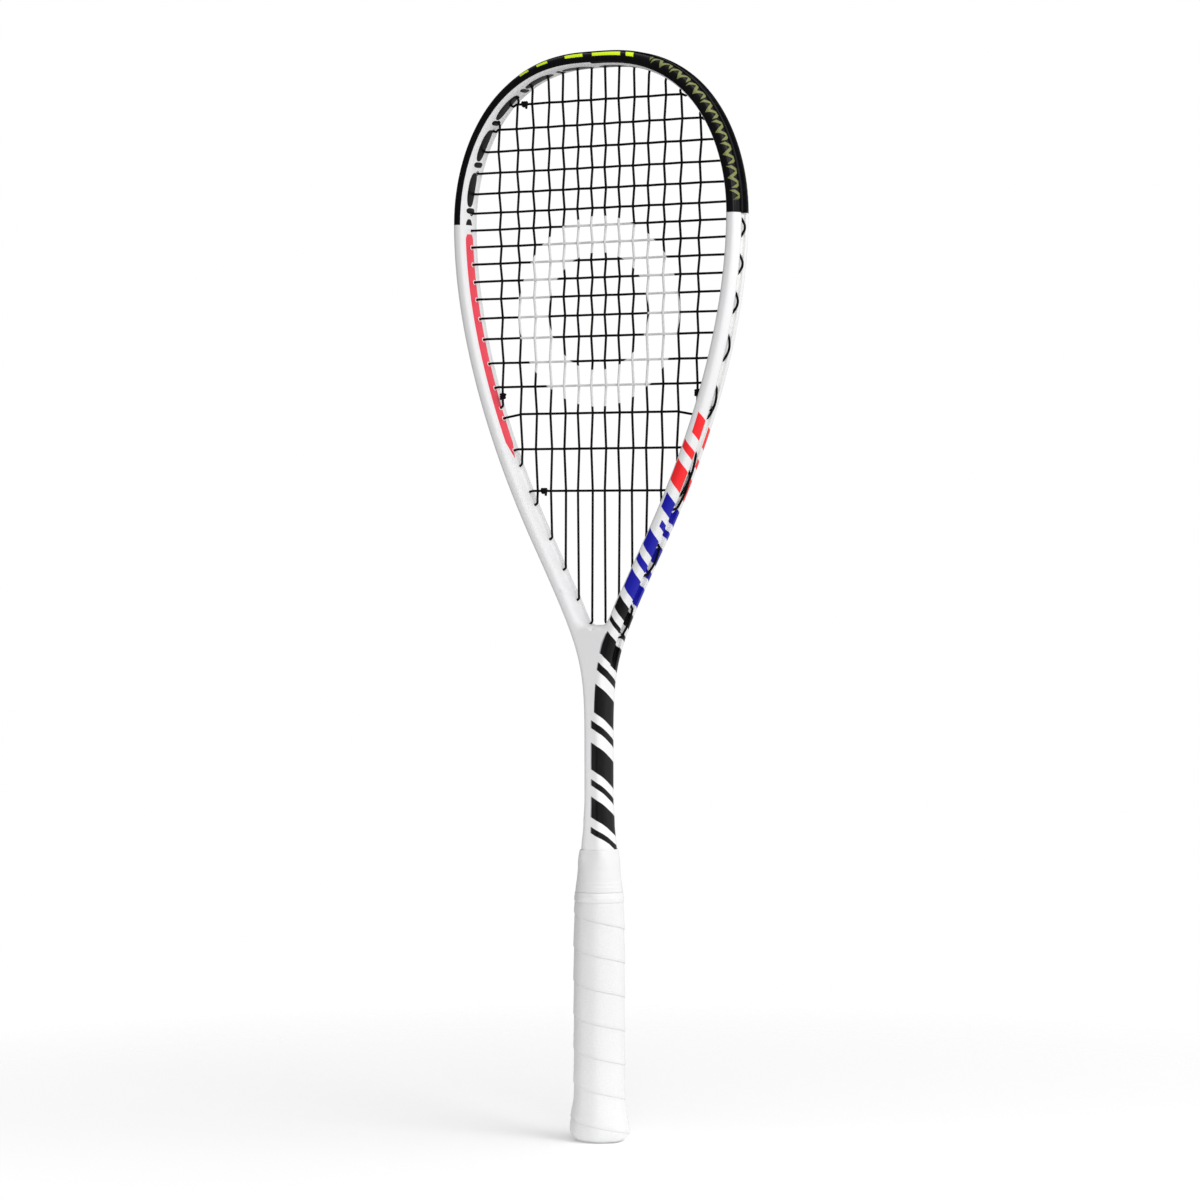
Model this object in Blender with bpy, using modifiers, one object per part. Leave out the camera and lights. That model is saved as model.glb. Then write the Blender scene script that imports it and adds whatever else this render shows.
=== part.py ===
"""Squash racket: hollow carbon frame, grommets, woven string bed and wrapped handle.

World frame: +Z runs from the butt end up to the tip, the string bed lies in the XZ
plane and -Y is the front.  The origin is the middle of the flat butt end.
Every dimension below is in millimetres; MM turns it into metres.
"""
import math

import bmesh
import bpy
from mathutils import Matrix, Vector
from mathutils.geometry import interpolate_bezier

MM = 0.001
NAME = "squash_racket"

# ---- frame tube -------------------------------------------------------------------
# Half centreline in the XZ plane, tip to shaft: knot, handle leaving it, handle
# arriving at the next knot.
TIP, TIP_OUT, SHOULDER_IN = (0.0, 680.6), (16.6, 680.6), (41.0, 681.2)
SHOULDER, SHOULDER_OUT, WIDEST_IN = (65.0, 662.7), (87.4, 645.3), (100.9, 614.3)
WIDEST, WIDEST_OUT, THROAT_IN = (100.9, 581.0), (100.9, 513.0), (74.3, 439.8)
THROAT, THROAT_OUT, SHAFT_IN = (41.7, 378.7), (5.5, 310.8), (2.4, 304.5)
SHAFT = (2.4, 252.5)
EVEN = range(0, 40, 4)
SPANS = ((TIP, TIP_OUT, SHOULDER_IN, SHOULDER, range(0, 39, 7)),
         (SHOULDER, SHOULDER_OUT, WIDEST_IN, WIDEST, range(0, 39, 7)),
         (WIDEST, WIDEST_OUT, THROAT_IN, THROAT, EVEN),
         (THROAT, THROAT_OUT, SHAFT_IN, SHAFT, (0, 4, 8, 12, 13, 14, 15, 16, 18, 21, 25, 30, 35)))
# Shaft below the spans: height, half width from the racket's axis, half depth.
SHAFT_STEPS = ((215.0, 7.0, 9.5), (200.0, 7.9, 9.9), (184.0, 9.4, 10.6),
               (165.0, 9.6, 10.2), (150.0, 9.6, 10.0), (30.0, 9.6, 10.0))

HALF_W = 4.6            # beam half width, in the plane of the strings
HALF_T = 9.5            # beam half depth
SQUARENESS = 3.0        # superellipse exponent of the beam's section
WALL = 1.2              # carbon wall
HALF_WEB = 0.6          # half the web between the two hollows in the shaft
GROOVE_DEPTH = 2.6      # outer groove that holds grommets and string loops
GROOVE_HALF = 3.2
GROOVE_END_Z = (309.0, 294.0)   # groove is full above the first, gone below the second
# Floor of the throat where the beams meet: half width and height, axis outwards.
CROTCH = ((0.0, 325.3), (4.0, 325.5), (7.0, 326.3), (9.6, 328.3), (12.0, 332.3),
          (15.3, 339.3), (19.4, 347.2))
CENTRE_FOOT = (0.55, 7.4)       # tilt and inner reach of the hole for the two middle mains

# ---- stringing --------------------------------------------------------------------
MAIN_X = (5.0, 15.3, 26.0, 36.9, 48.7, 60.6, 74.6)    # half offsets at MAIN_REF_Z
MAIN_REF_Z = 620.0
MAIN_LEAN = 0.0003      # a main leans in by this times its offset beyond 10 mm
CROSS_Z = (656.0, 640.7, 626.9, 613.4, 600.5, 588.0, 577.2, 566.4, 555.5,
           544.3, 533.0, 520.8, 507.5, 491.9, 476.5, 459.1, 436.7, 410.1)
STRING_R = 0.6
WEAVE = 0.77            # how far a string's centre leaves the plane at each crossing
LOOP_A = 3.95           # where the outer loops run, out from the beam's centreline
LOOP_B = 1.5            # mains loop behind the groove's middle, crosses in front of it
TURN = 1.6              # length over which a string swings from its hole into the groove
PAST = 1.0              # a string crosses another only this far short of its barrel
TAIL = 3.0              # string end left in the groove after a tie-off

# ---- grommets ---------------------------------------------------------------------
HOLE_R, BARREL_R, BORE_R = 2.1, 1.55, 1.05
HOLE_PITCH = 4.8        # closest two holes may come, at either wall
HOLE_TILT = 0.25        # share of the string's direction in its hole's direction
BARREL_PROUD = 0.9      # barrel standing out of the inner wall
SIDE_TOP_Z, SIDE_END_Z = 571.8, 404.0
STRIP_A = (2.3, 3.0)    # strip floor, out from the beam's centreline
STRIP_HALF = 2.9
STRIP_RAIL = 0.5       # thickness of the rail on either side of the string channel
SIDE_RAIL_A = 4.4
BUMPER_LIP = (4.8, 5.4, 4.4)    # underside, top and half width of the bumper's lip
EYELET_R = 2.5
KNOT_R, KNOT_LEN, KNOT_GAP = 1.7, 3.0, 0.3

# ---- handle -----------------------------------------------------------------------
OVAL = 0.86             # depth of the handle over its width
CLEAR = 0.3             # gap between touching pieces
HANDLE_STEPS = 16
CAP_PROFILE = ((0.0, 0.0), (14.2, 0.0), (16.0, 1.4), (17.4, 4.0), (17.8, 7.5), (17.1, 13.5),
               (16.1, 20.0), (15.0, 26.0), (12.8, 26.0), (12.8, 6.0), (0.0, 6.0))
PALLET_PROFILE = ((0.0, 6.3), (12.45, 6.3), (12.45, 26.3), (15.0, 26.3), (15.0, 120.0),
                  (14.4, 156.7), (0.0, 156.7))
TAPE_PROFILE = ((16.6, 0.9), (18.4, 2.6), (19.4, 5.4), (19.6, 8.0), (19.0, 13.6),
                (18.0, 19.8), (17.0, 26.0), (16.8, 32.0), (16.8, 108.0), (16.6, 133.0),
                (16.1, 151.0), (14.9, 151.0), (15.3, 120.0), (15.3, 30.0), (15.45, 26.0),
                (16.45, 20.0), (17.45, 13.5), (18.15, 7.5), (17.75, 4.0))
BAND_PROFILE = ((14.85, 151.4), (16.15, 151.4), (16.25, 152.2), (15.95, 156.3),
                (15.75, 156.9), (14.85, 156.9))
COLLAR = ((157.2, 15.6, 13.4, 2.2), (165.0, 14.3, 13.0, 2.3), (171.5, 13.3, 12.6, 2.5),
          (178.0, 11.9, 12.0, 2.7), (184.0, 10.3, 11.5, 3.0))   # z, half w, half d, exponent

MATERIALS = {
    "carbon_paint": ((0.88, 0.88, 0.88, 1.0), 0.25),
    "bumper_black": ((0.02, 0.02, 0.02, 1.0), 0.45),
    "grommet_white": ((0.85, 0.85, 0.84, 1.0), 0.5),
    "string_black": ((0.015, 0.015, 0.015, 1.0), 0.35),
    "grip_white": ((0.83, 0.83, 0.83, 1.0), 0.7),
    "foam": ((0.55, 0.5, 0.42, 1.0), 0.9),
    "cap_plastic": ((0.8, 0.8, 0.8, 1.0), 0.5),
}


# ---- scene helpers ----------------------------------------------------------------
def clear_scene():
    for obj in list(bpy.data.objects):
        bpy.data.objects.remove(obj, do_unlink=True)
    for coll in list(bpy.data.collections):
        bpy.data.collections.remove(coll)


def collection(name):
    coll = bpy.data.collections.new(name)
    bpy.context.scene.collection.children.link(coll)
    return coll


def make_material(slot):
    colour, rough = MATERIALS[slot]
    mat = bpy.data.materials.new(slot)
    mat.use_nodes = True
    shader = mat.node_tree.nodes["Principled BSDF"]
    shader.inputs["Base Color"].default_value = colour
    shader.inputs["Roughness"].default_value = rough
    return mat


clear_scene()
PARTS = collection(NAME)
CUTTERS = collection("cutters")


def object_from(name, bm, coll, slot=None):
    mesh = bpy.data.meshes.new(name)
    bmesh.ops.recalc_face_normals(bm, faces=bm.faces)
    bm.to_mesh(mesh)
    bm.free()
    return link_mesh(name, mesh, coll, slot)


def link_mesh(name, mesh, coll, slot=None):
    obj = bpy.data.objects.new(name, mesh)
    coll.objects.link(obj)
    if slot:
        mesh.materials.clear()
        mesh.materials.append(make_material(slot))
        mesh.materials[0].name = name
    if coll is CUTTERS:
        obj.hide_render = True
        obj.display_type = 'WIRE'
    return obj


def boolean(obj, other, operation):
    mod = obj.modifiers.new(other.name, 'BOOLEAN')
    mod.operation = operation
    mod.solver = 'EXACT'
    mod.object = other
    return mod


def mirror_x(obj, bisect):
    mod = obj.modifiers.new("mirror", 'MIRROR')
    mod.use_axis = (True, False, False)
    mod.use_bisect_axis = (bisect, False, False)
    mod.merge_threshold = 0.0001


# ---- shapes -----------------------------------------------------------------------
def loft(bm, rings, cap_first=True, cap_last=True):
    """Skin between rings of equally many points, given in millimetres."""
    rows = [[bm.verts.new(Vector(p) * MM) for p in ring] for ring in rings]
    count = len(rows[0])
    for low, high in zip(rows, rows[1:]):
        for i in range(count):
            j = (i + 1) % count
            bm.faces.new((low[i], low[j], high[j], high[i]))
    if cap_first:
        bm.faces.new(rows[0])
    if cap_last:
        bm.faces.new(rows[-1])
    return rows


def prism(bm, start, end, radius, sides=6):
    """Straight round bar between two points, in millimetres."""
    axis = Vector(end) - Vector(start)
    middle = (Vector(start) + Vector(end)) / 2
    turn = axis.to_track_quat('Z', 'X').to_matrix().to_4x4()
    bmesh.ops.create_cone(bm, cap_ends=True, segments=sides, radius1=radius * MM,
                          radius2=radius * MM, depth=axis.length * MM,
                          matrix=Matrix.Translation(middle * MM) @ turn)


def superellipse(half_w, half_d, exponent, count=16):
    """Points round a superellipse, starting at +X."""
    points = []
    for i in range(count):
        angle = 2 * math.pi * i / count
        c, s = math.cos(angle), math.sin(angle)
        size = (abs(c) ** exponent + abs(s) ** exponent) ** (-1 / exponent)
        points.append((half_w * c * size, half_d * s * size))
    return points


def lathe(name, profile, slot):
    """Profile of (radius, height) turned round Z, then squeezed to the handle's oval."""
    bm = bmesh.new()
    verts = [bm.verts.new((r * MM, 0, z * MM)) for r, z in profile]
    for a, b in zip(verts, verts[1:]):
        bm.edges.new((a, b))
    if profile[0][0] > 0:
        bm.edges.new((verts[-1], verts[0]))
    mesh = bpy.data.meshes.new(name)
    bm.to_mesh(mesh)
    bm.free()
    obj = link_mesh(name, mesh, PARTS, slot)
    mod = obj.modifiers.new("turn", 'SCREW')
    mod.steps = mod.render_steps = HANDLE_STEPS
    mod.use_merge_vertices = True
    mod.merge_threshold = 0.0001
    mod.use_normal_calculate = True
    obj.scale = (1.0, OVAL, 1.0)
    return obj


# ---- frame centreline -------------------------------------------------------------
def ramp(z, full, none):
    return min(1.0, max(0.0, (z - none) / (full - none)))


def inner_reach(point, normal):
    """Distance inwards to the tube's inner side, and whether that lies past the axis."""
    if point.z > CROTCH[-1][1]:
        return HALF_W, False
    for (x0, z0), (x1, z1) in zip(CROTCH, CROTCH[1:]):
        dx, dz = x1 - x0, z1 - z0
        cross = dx * normal.z - dz * normal.x
        if abs(cross) < 1e-6:
            continue
        along = (dx * (point.z - z0) - dz * (point.x - x0)) / cross
        share = (normal.x * (z0 - point.z) - normal.z * (x0 - point.x)) / cross
        if 0 <= share <= 1 and along > 0:
            return max(HALF_W, along), False
    to_axis = point.x / normal.x
    below = CROTCH[0][1] - (point.z - normal.z * to_axis)
    return max(HALF_W, to_axis * (1.12 + 1.1 * min(1.0, below / 8))), True


def make_stations():
    """Points along the half centreline with their outward direction and section size."""
    points = []
    for start, out, into, end, picks in SPANS:
        knots = [Vector((x, 0, z)) for x, z in (start, out, into, end)]
        curve = interpolate_bezier(*knots, 41)
        points += [curve[i] for i in picks]
    points.append(Vector((SHAFT[0], 0, SHAFT[1])))
    stations = []
    for i, point in enumerate(points):
        ahead = points[min(i + 1, len(points) - 1)] - points[max(i - 1, 0)]
        if i == 0:
            ahead = Vector((1, 0, 0))
        if i == len(points) - 1:
            ahead = Vector((0, 0, -1))
        ahead.normalize()
        normal = Vector((-ahead.z, 0, ahead.x))
        inside, merged = inner_reach(point, normal)
        stations.append({"point": point, "normal": normal, "out": HALF_W,
                         "in": inside, "merged": merged, "deep": HALF_T})
    for z, half_w, half_d in SHAFT_STEPS:
        stations.append({"point": Vector((SHAFT[0], 0, z)), "normal": Vector((1, 0, 0)),
                         "out": half_w - SHAFT[0], "in": HALF_W, "merged": True,
                         "deep": half_d})
    length = 0.0
    for i, here in enumerate(stations):
        if i:
            length += (here["point"] - stations[i - 1]["point"]).length
        here["s"] = length
    return stations


STATIONS = make_stations()


def at(s):
    """Centreline point and outward direction at arc length s."""
    for a, b in zip(STATIONS, STATIONS[1:]):
        if s <= b["s"]:
            t = (s - a["s"]) / (b["s"] - a["s"])
            return a["point"].lerp(b["point"], t), a["normal"].lerp(b["normal"], t)
    return STATIONS[-1]["point"], STATIONS[-1]["normal"]


def offset(s, a, b=0.0):
    """Point at distance a out from the centreline and b behind the string bed."""
    point, normal = at(s)
    return point + normal * a + Vector((0, b, 0))


def s_at_height(z):
    """Arc length where the half centreline passes height z."""
    for a, b in zip(STATIONS, STATIONS[1:]):
        if a["point"].z >= z > b["point"].z:
            return a["s"] + (b["s"] - a["s"]) * (a["point"].z - z) / (a["point"].z - b["point"].z)
    return 0.0


def ring_at(station, section):
    point, normal = station["point"], station["normal"]
    return [point + normal * a + Vector((0, b, 0)) for a, b in section]


# ---- frame ------------------------------------------------------------------------
def beam_section(station):
    """Grooved superellipse of the carbon tube, as (out, back) points."""
    z, out, deep = station["point"].z, station["out"], station["deep"]
    inside = station["in"]
    groove = ramp(z, *GROOVE_END_Z)
    half = [(out - groove * GROOVE_DEPTH, GROOVE_HALF * (0.5 + 0.5 * groove)),
            (out * 0.99, GROOVE_HALF)]
    for angle in (35, 62, 90):
        c, s = math.cos(math.radians(angle)), math.sin(math.radians(angle))
        half.append((out * abs(c) ** (2 / SQUARENESS), deep * s ** (2 / SQUARENESS)))
    for angle in (118, 145, 168):
        c, s = math.cos(math.radians(angle)), math.sin(math.radians(angle))
        back = deep if station["merged"] and angle == 118 else deep * s ** (2 / SQUARENESS)
        half.append((-inside * abs(c) ** (2 / SQUARENESS), back))
    return half + [(a, -b) for a, b in reversed(half)]


def core_section(station):
    """Hollow inside the beam, as (out, back) points."""
    z = station["point"].z
    groove = ramp(z, *GROOVE_END_Z)
    high = station["out"] - WALL - groove * GROOVE_DEPTH
    low = -HALF_W + WALL
    if z < CROTCH[-1][1]:
        low = max(low, (HALF_WEB - station["point"].x) / station["normal"].x)
    middle, half_w, half_d = (high + low) / 2, (high - low) / 2, station["deep"] - WALL
    corner = ((1.0, 0.62), (0.62, 1.0), (-0.62, 1.0), (-1.0, 0.62))
    half = [(middle + half_w * a, half_d * b) for a, b in corner]
    return half + [(a, -b) for a, b in reversed(half)]


def make_frame(holes):
    bm = bmesh.new()
    loft(bm, [ring_at(st, beam_section(st)) for st in STATIONS], cap_first=False)
    frame = object_from("frame", bm, PARTS, "carbon_paint")
    mirror_x(frame, bisect=True)

    bm = bmesh.new()
    rings = [ring_at(st, core_section(st)) for st in STATIONS]
    rings.append([p - Vector((0, 0, 3)) for p in rings[-1]])
    loft(bm, rings, cap_first=False)
    core = object_from("frame_core", bm, CUTTERS)
    mirror_x(core, bisect=False)
    boolean(frame, core, 'DIFFERENCE')

    bm = bmesh.new()
    for hole in holes:
        prism(bm, hole.inside(3), hole.along(HALF_W + 2), HOLE_R)
    drill = object_from("frame_drill", bm, CUTTERS)
    mirror_x(drill, bisect=False)
    boolean(frame, drill, 'DIFFERENCE')
    return frame


# ---- string holes -----------------------------------------------------------------
class Hole:
    """A grommet hole on the right half of the hoop."""

    def __init__(self, kind, index, s, pull):
        self.kind, self.index, self.s, self.pull = kind, index, s, Vector(pull)
        self.tilt, self.reach = HOLE_TILT, HALF_W
        if kind == "foot" and index == 0:
            self.tilt, self.reach = CENTRE_FOOT
        elif kind == "foot" and index < 5:
            self.tilt = 0.0

    @property
    def axis(self):
        normal = at(self.s)[1].normalized()
        return (normal + self.pull * self.tilt).normalized()

    def along(self, a):
        """Point on the hole's axis at distance a out from the centreline."""
        point, normal = at(self.s)
        axis = self.axis
        return point + axis * (a / axis.dot(normal.normalized()))

    def inside(self, proud):
        """Point on the hole's axis standing proud of the inner wall."""
        return self.along(-self.reach - proud)

    @property
    def mouth(self):
        """Where the string turns into its barrel."""
        return self.inside(BARREL_PROUD + 1.3)


def main_x(index, z):
    x = MAIN_X[index]
    return x - (MAIN_REF_Z - z) * MAIN_LEAN * max(0.0, x - 10.0)


def find_hole(kind, index):
    """Hole whose inner mouth lies on its string's line."""
    pull = {"head": (0, 0, 1), "foot": (0, 0, -1), "side": (1, 0, 0)}[kind]
    low, high = {"head": (0.0, s_at_height(581.0)),
                 "foot": (s_at_height(581.0), s_at_height(295.0)),
                 "side": (40.0, s_at_height(380.0))}[kind]
    best = None
    for step in range(int((high - low) * 5)):
        hole = Hole(kind, index, low + step / 5, pull)
        mouth = hole.mouth
        if kind == "side":
            miss = abs(mouth.z - CROSS_Z[index])
        else:
            miss = abs(mouth.x - main_x(index, mouth.z))
        if best is None or miss < best[0]:
            best = (miss, hole)
    return best[1]


def make_holes():
    """Every hole of the right half, spread so that no two come too close."""
    holes = [find_hole("head", i) for i in range(7)]
    holes += [find_hole("side", i) for i in range(len(CROSS_Z))]
    holes += [find_hole("foot", i) for i in range(7)]
    holes.sort(key=lambda h: h.s)
    for _ in range(60):
        for a, b in zip(holes, holes[1:]):
            short = HOLE_PITCH - min((a.along(r) - b.along(r)).length
                                     for r in (-HALF_W - 3, HALF_W))
            if short > 0.01:
                a.s -= short / 2
                b.s += short / 2
    return holes


HOLES = make_holes()
BY_NAME = {(hole.kind, hole.index): hole for hole in HOLES}


def flip(points, side):
    return [Vector((p.x * side, p.y, p.z)) for p in points]


# ---- grommets ---------------------------------------------------------------------
def strip_section(bumper):
    """Channel that carries the string loops, as (out, back) points."""
    low, floor = STRIP_A
    edge, rail = STRIP_HALF, STRIP_HALF - STRIP_RAIL
    if bumper:
        under, top, lip = BUMPER_LIP
        half = [(floor, rail), (top, rail), (top - 0.15, lip), (under - 0.1, lip),
                (under, edge), (low, edge)]
    else:
        half = [(floor, rail), (SIDE_RAIL_A, rail), (SIDE_RAIL_A, edge), (low, edge)]
    return half + [(a, -b) for a, b in reversed(half)]


def stations_between(low, high):
    inner = [st["s"] for st in STATIONS if low + 0.5 < st["s"] < high - 0.5]
    return [low] + inner + [high]


def strip(name, slot, low, high, holes, bumper=False, side=1):
    """Grommet strip from arc length low to high, with a bored barrel in every hole."""
    section = strip_section(bumper)
    bm = bmesh.new()
    rings = [[offset(s, a, b) for a, b in section] for s in stations_between(low, high)]
    if bumper:
        rings = [flip(ring, -1) for ring in reversed(rings[1:])] + rings
    loft(bm, [flip(ring, side) for ring in rings])
    obj = object_from(name, bm, PARTS, slot)

    ends = [(hole, sign) for hole in holes for sign in ((1, -1) if bumper else (side,))]
    bm = bmesh.new()
    for hole, sign in ends:
        prism(bm, *flip((hole.inside(BARREL_PROUD), hole.along(STRIP_A[0] + 0.35)), sign),
              BARREL_R)
    boolean(obj, object_from(name + "_barrels", bm, CUTTERS), 'UNION')
    bm = bmesh.new()
    for hole, sign in ends:
        prism(bm, *flip((hole.inside(4), hole.along(HALF_W + 2)), sign), BORE_R)
    boolean(obj, object_from(name + "_bores", bm, CUTTERS), 'DIFFERENCE')
    return obj


def eyelet(name, slot, hole, side):
    """Single grommet: a barrel with a round flange on the groove's floor."""
    bm = bmesh.new()
    low, normal = hole.along(STRIP_A[0]), at(hole.s)[1].normalized()
    prism(bm, *flip((low, low + normal * (STRIP_A[1] - STRIP_A[0])), side), EYELET_R, 12)
    obj = object_from(name, bm, PARTS, slot)
    bm = bmesh.new()
    prism(bm, *flip((hole.inside(BARREL_PROUD), hole.along(STRIP_A[0] + 0.35)), side),
          BARREL_R)
    boolean(obj, object_from(name + "_barrel", bm, CUTTERS), 'UNION')
    bm = bmesh.new()
    prism(bm, *flip((hole.inside(4), hole.along(HALF_W + 2)), side), BORE_R)
    boolean(obj, object_from(name + "_bore", bm, CUTTERS), 'DIFFERENCE')
    return obj


def make_grommets():
    top, end = s_at_height(SIDE_TOP_Z), s_at_height(SIDE_END_Z)
    strip("bumper_guard", "bumper_black", 0.0, top - 1.5,
          [h for h in HOLES if h.s < top - 0.7], bumper=True)
    sides = [h for h in HOLES if top - 0.7 < h.s < end]
    for label, side in (("left", -1), ("right", 1)):
        strip("side_grommet_strip_" + label, "grommet_white", top, end, sides, side=side)
        for i, hole in enumerate(h for h in HOLES if h.s > end):
            eyelet(f"throat_grommet_{label}_{i + 1}", "grommet_white", hole, side)


# ---- strings ----------------------------------------------------------------------
def turn_in(hole, side):
    """String from the bed into a barrel and out to the groove, ready to run along it."""
    points = [hole.mouth, hole.along(LOOP_A - 0.3)]
    return flip(points, side)


def groove_run(s_from, s_to, side, b):
    """String lying in the groove between two arc lengths, b behind its middle."""
    low, high = sorted((s_from, s_to))
    inner = [st["s"] for st in STATIONS if low + 2.2 < st["s"] < high - 2.2]
    stops = [low + TURN] + inner + [high - TURN]
    if s_to < s_from:
        stops.reverse()
    return flip([offset(s, LOOP_A, b) for s in stops], side)


def outer_s(hole):
    """Arc length at which a hole's axis reaches the string loops."""
    point, normal = at(hole.s)
    ahead = Vector((normal.z, 0, -normal.x)).normalized()
    return hole.s + (hole.along(LOOP_A) - point).dot(ahead) * 0.96


def loop(first, second, side, b):
    """Out through one hole, along the groove and back in through the next."""
    return (turn_in(first, side) + groove_run(outer_s(first), outer_s(second), side, b)
            + turn_in(second, side)[::-1])


def tail(hole, side, way, b):
    s = outer_s(hole)
    return turn_in(hole, side) + groove_run(s, s + way * (TAIL + 1.7), side, b)


def main_row(i):
    """Crossing points of main i (0 is leftmost), bottom to top."""
    side, index = (-1, 6 - i) if i < 7 else (1, i - 7)
    points = []
    for j in reversed(range(len(CROSS_Z))):
        z = CROSS_Z[j]
        x = main_x(index, z)
        if z < BY_NAME[("foot", index)].mouth.z + PAST:
            continue
        if z > BY_NAME[("head", index)].mouth.z - PAST:
            continue
        points.append(Vector((side * x, WEAVE if (i + j) % 2 else -WEAVE, z)))
    return points


def cross_row(j):
    """Crossing points of cross j, left to right."""
    z = CROSS_Z[j]
    points = []
    for i in range(14):
        side, index = (-1, 6 - i) if i < 7 else (1, i - 7)
        if not any(abs(p.z - z) < 0.01 for p in main_row(i)):
            continue
        points.append(Vector((side * main_x(index, z), -WEAVE if (i + j) % 2 else WEAVE, z)))
    return points


def main_path():
    first = BY_NAME[("foot", 6)]
    path = tail(first, -1, -1, LOOP_B)[::-1]
    for i in range(14):
        up = i % 2 == 0
        path += main_row(i) if up else main_row(i)[::-1]
        if i == 13:
            break
        here, there = (6 - i, 5 - i) if i < 6 else (i - 7, i - 6)
        if i == 6:
            left, right = BY_NAME[("head", 0)], BY_NAME[("head", 0)]
            path += turn_in(left, -1) + groove_run(outer_s(left), TURN, -1, LOOP_B)
            path += groove_run(-TURN, outer_s(right), 1, LOOP_B) + turn_in(right, 1)[::-1]
        else:
            kind = "head" if up else "foot"
            path += loop(BY_NAME[(kind, here)], BY_NAME[(kind, there)], -1 if i < 7 else 1,
                         LOOP_B)
    return path + tail(first, 1, -1, LOOP_B)


def cross_path():
    path = tail(BY_NAME[("side", 0)], -1, 1, -LOOP_B)[::-1]
    for j in range(len(CROSS_Z)):
        rightward = j % 2 == 0
        path += cross_row(j) if rightward else cross_row(j)[::-1]
        if j < len(CROSS_Z) - 1:
            path += loop(BY_NAME[("side", j)], BY_NAME[("side", j + 1)], 1 if rightward else -1,
                         -LOOP_B)
    return path + tail(BY_NAME[("side", len(CROSS_Z) - 1)], -1, 1, -LOOP_B)


def string(name, path):
    curve = bpy.data.curves.new(name, 'CURVE')
    curve.dimensions = '3D'
    curve.bevel_depth = STRING_R * MM
    curve.bevel_resolution = 1
    curve.use_fill_caps = True
    spline = curve.splines.new('POLY')
    spline.points.add(len(path) - 1)
    for point, co in zip(spline.points, path):
        point.co = (*(co * MM), 1.0)
    holder = bpy.data.objects.new(name + "_path", curve)
    CUTTERS.objects.link(holder)
    holder.hide_render = True
    bpy.context.view_layer.update()
    graph = bpy.context.evaluated_depsgraph_get()
    mesh = bpy.data.meshes.new_from_object(holder.evaluated_get(graph))
    bpy.data.objects.remove(holder, do_unlink=True)
    bm = bmesh.new()
    bm.from_mesh(mesh)
    bmesh.ops.remove_doubles(bm, verts=bm.verts, dist=0.00001)
    bpy.data.meshes.remove(mesh)
    return object_from(name, bm, PARTS, "string_black")


def knot(name, a, b):
    """Tie-off wound round a string, halfway between two of its points."""
    middle, heading = (a + b) / 2, (b - a).normalized()
    start, end = middle - heading * KNOT_LEN / 2, middle + heading * KNOT_LEN / 2
    bm = bmesh.new()
    prism(bm, start, end, KNOT_R, 10)
    obj = object_from(name, bm, PARTS, "string_black")
    bm = bmesh.new()
    prism(bm, start - heading, end + heading, STRING_R + KNOT_GAP + 0.1, 10)
    boolean(obj, object_from(name + "_bore", bm, CUTTERS), 'DIFFERENCE')
    return obj


def make_strings():
    string("main_string", main_path())
    string("cross_string", cross_path())
    foot = BY_NAME[("foot", 6)].mouth
    knot("main_knot_left", *flip([foot], -1), main_row(0)[0])
    knot("main_knot_right", foot, main_row(13)[0])
    knot("cross_knot_upper", *cross_row(0)[:2])
    knot("cross_knot_lower", *cross_row(len(CROSS_Z) - 1)[:2])


# ---- handle -----------------------------------------------------------------------
def shaft_hollow(extra, steps):
    """Sections of the shaft inside the handle, grown by a clearance."""
    rings = []
    for z, half_w, half_d in steps:
        rings.append([Vector((x, y, z)) for x, y in
                      superellipse(half_w + extra, half_d + extra, SQUARENESS + 1, 16)])
    return rings


def make_handle():
    lathe("butt_cap", CAP_PROFILE, "cap_plastic")
    pallet = lathe("handle_pallet", PALLET_PROFILE, "foam")
    bm = bmesh.new()
    loft(bm, shaft_hollow(CLEAR, ((158.0, 9.6, 10.1), (150.0, 9.6, 10.0), (29.0, 9.6, 10.0))))
    boolean(pallet, object_from("pallet_socket", bm, CUTTERS), 'DIFFERENCE')
    lathe("grip_tape", TAPE_PROFILE, "grip_white")
    lathe("finishing_band", BAND_PROFILE, "grip_white")

    bm = bmesh.new()
    loft(bm, [[Vector((x, y, z)) for x, y in superellipse(w, d, n, 24)] for z, w, d, n in COLLAR])
    collar = object_from("handle_collar", bm, PARTS, "grip_white")
    bm = bmesh.new()
    loft(bm, shaft_hollow(CLEAR, ((185.0, 9.35, 10.55), (184.0, 9.4, 10.6), (165.0, 9.6, 10.2),
                                  (156.0, 9.6, 10.1))))
    boolean(collar, object_from("collar_bore", bm, CUTTERS), 'DIFFERENCE')


make_frame(HOLES)
make_grommets()
make_strings()
make_handle()
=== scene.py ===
"""Looks of the squash racket: painted carbon frame, grommets, woven strings, wrapped grip.

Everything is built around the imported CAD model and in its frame: +Z runs from the butt end
to the tip, -Y is the front and the string bed lies in the XZ plane.  Sizes are in
millimetres and MM turns them into metres.
"""
import bisect
import math
from functools import partialmethod

import bmesh
import bpy
import numpy as np
from mathutils import Matrix, Vector
from mathutils.geometry import interpolate_bezier


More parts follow.
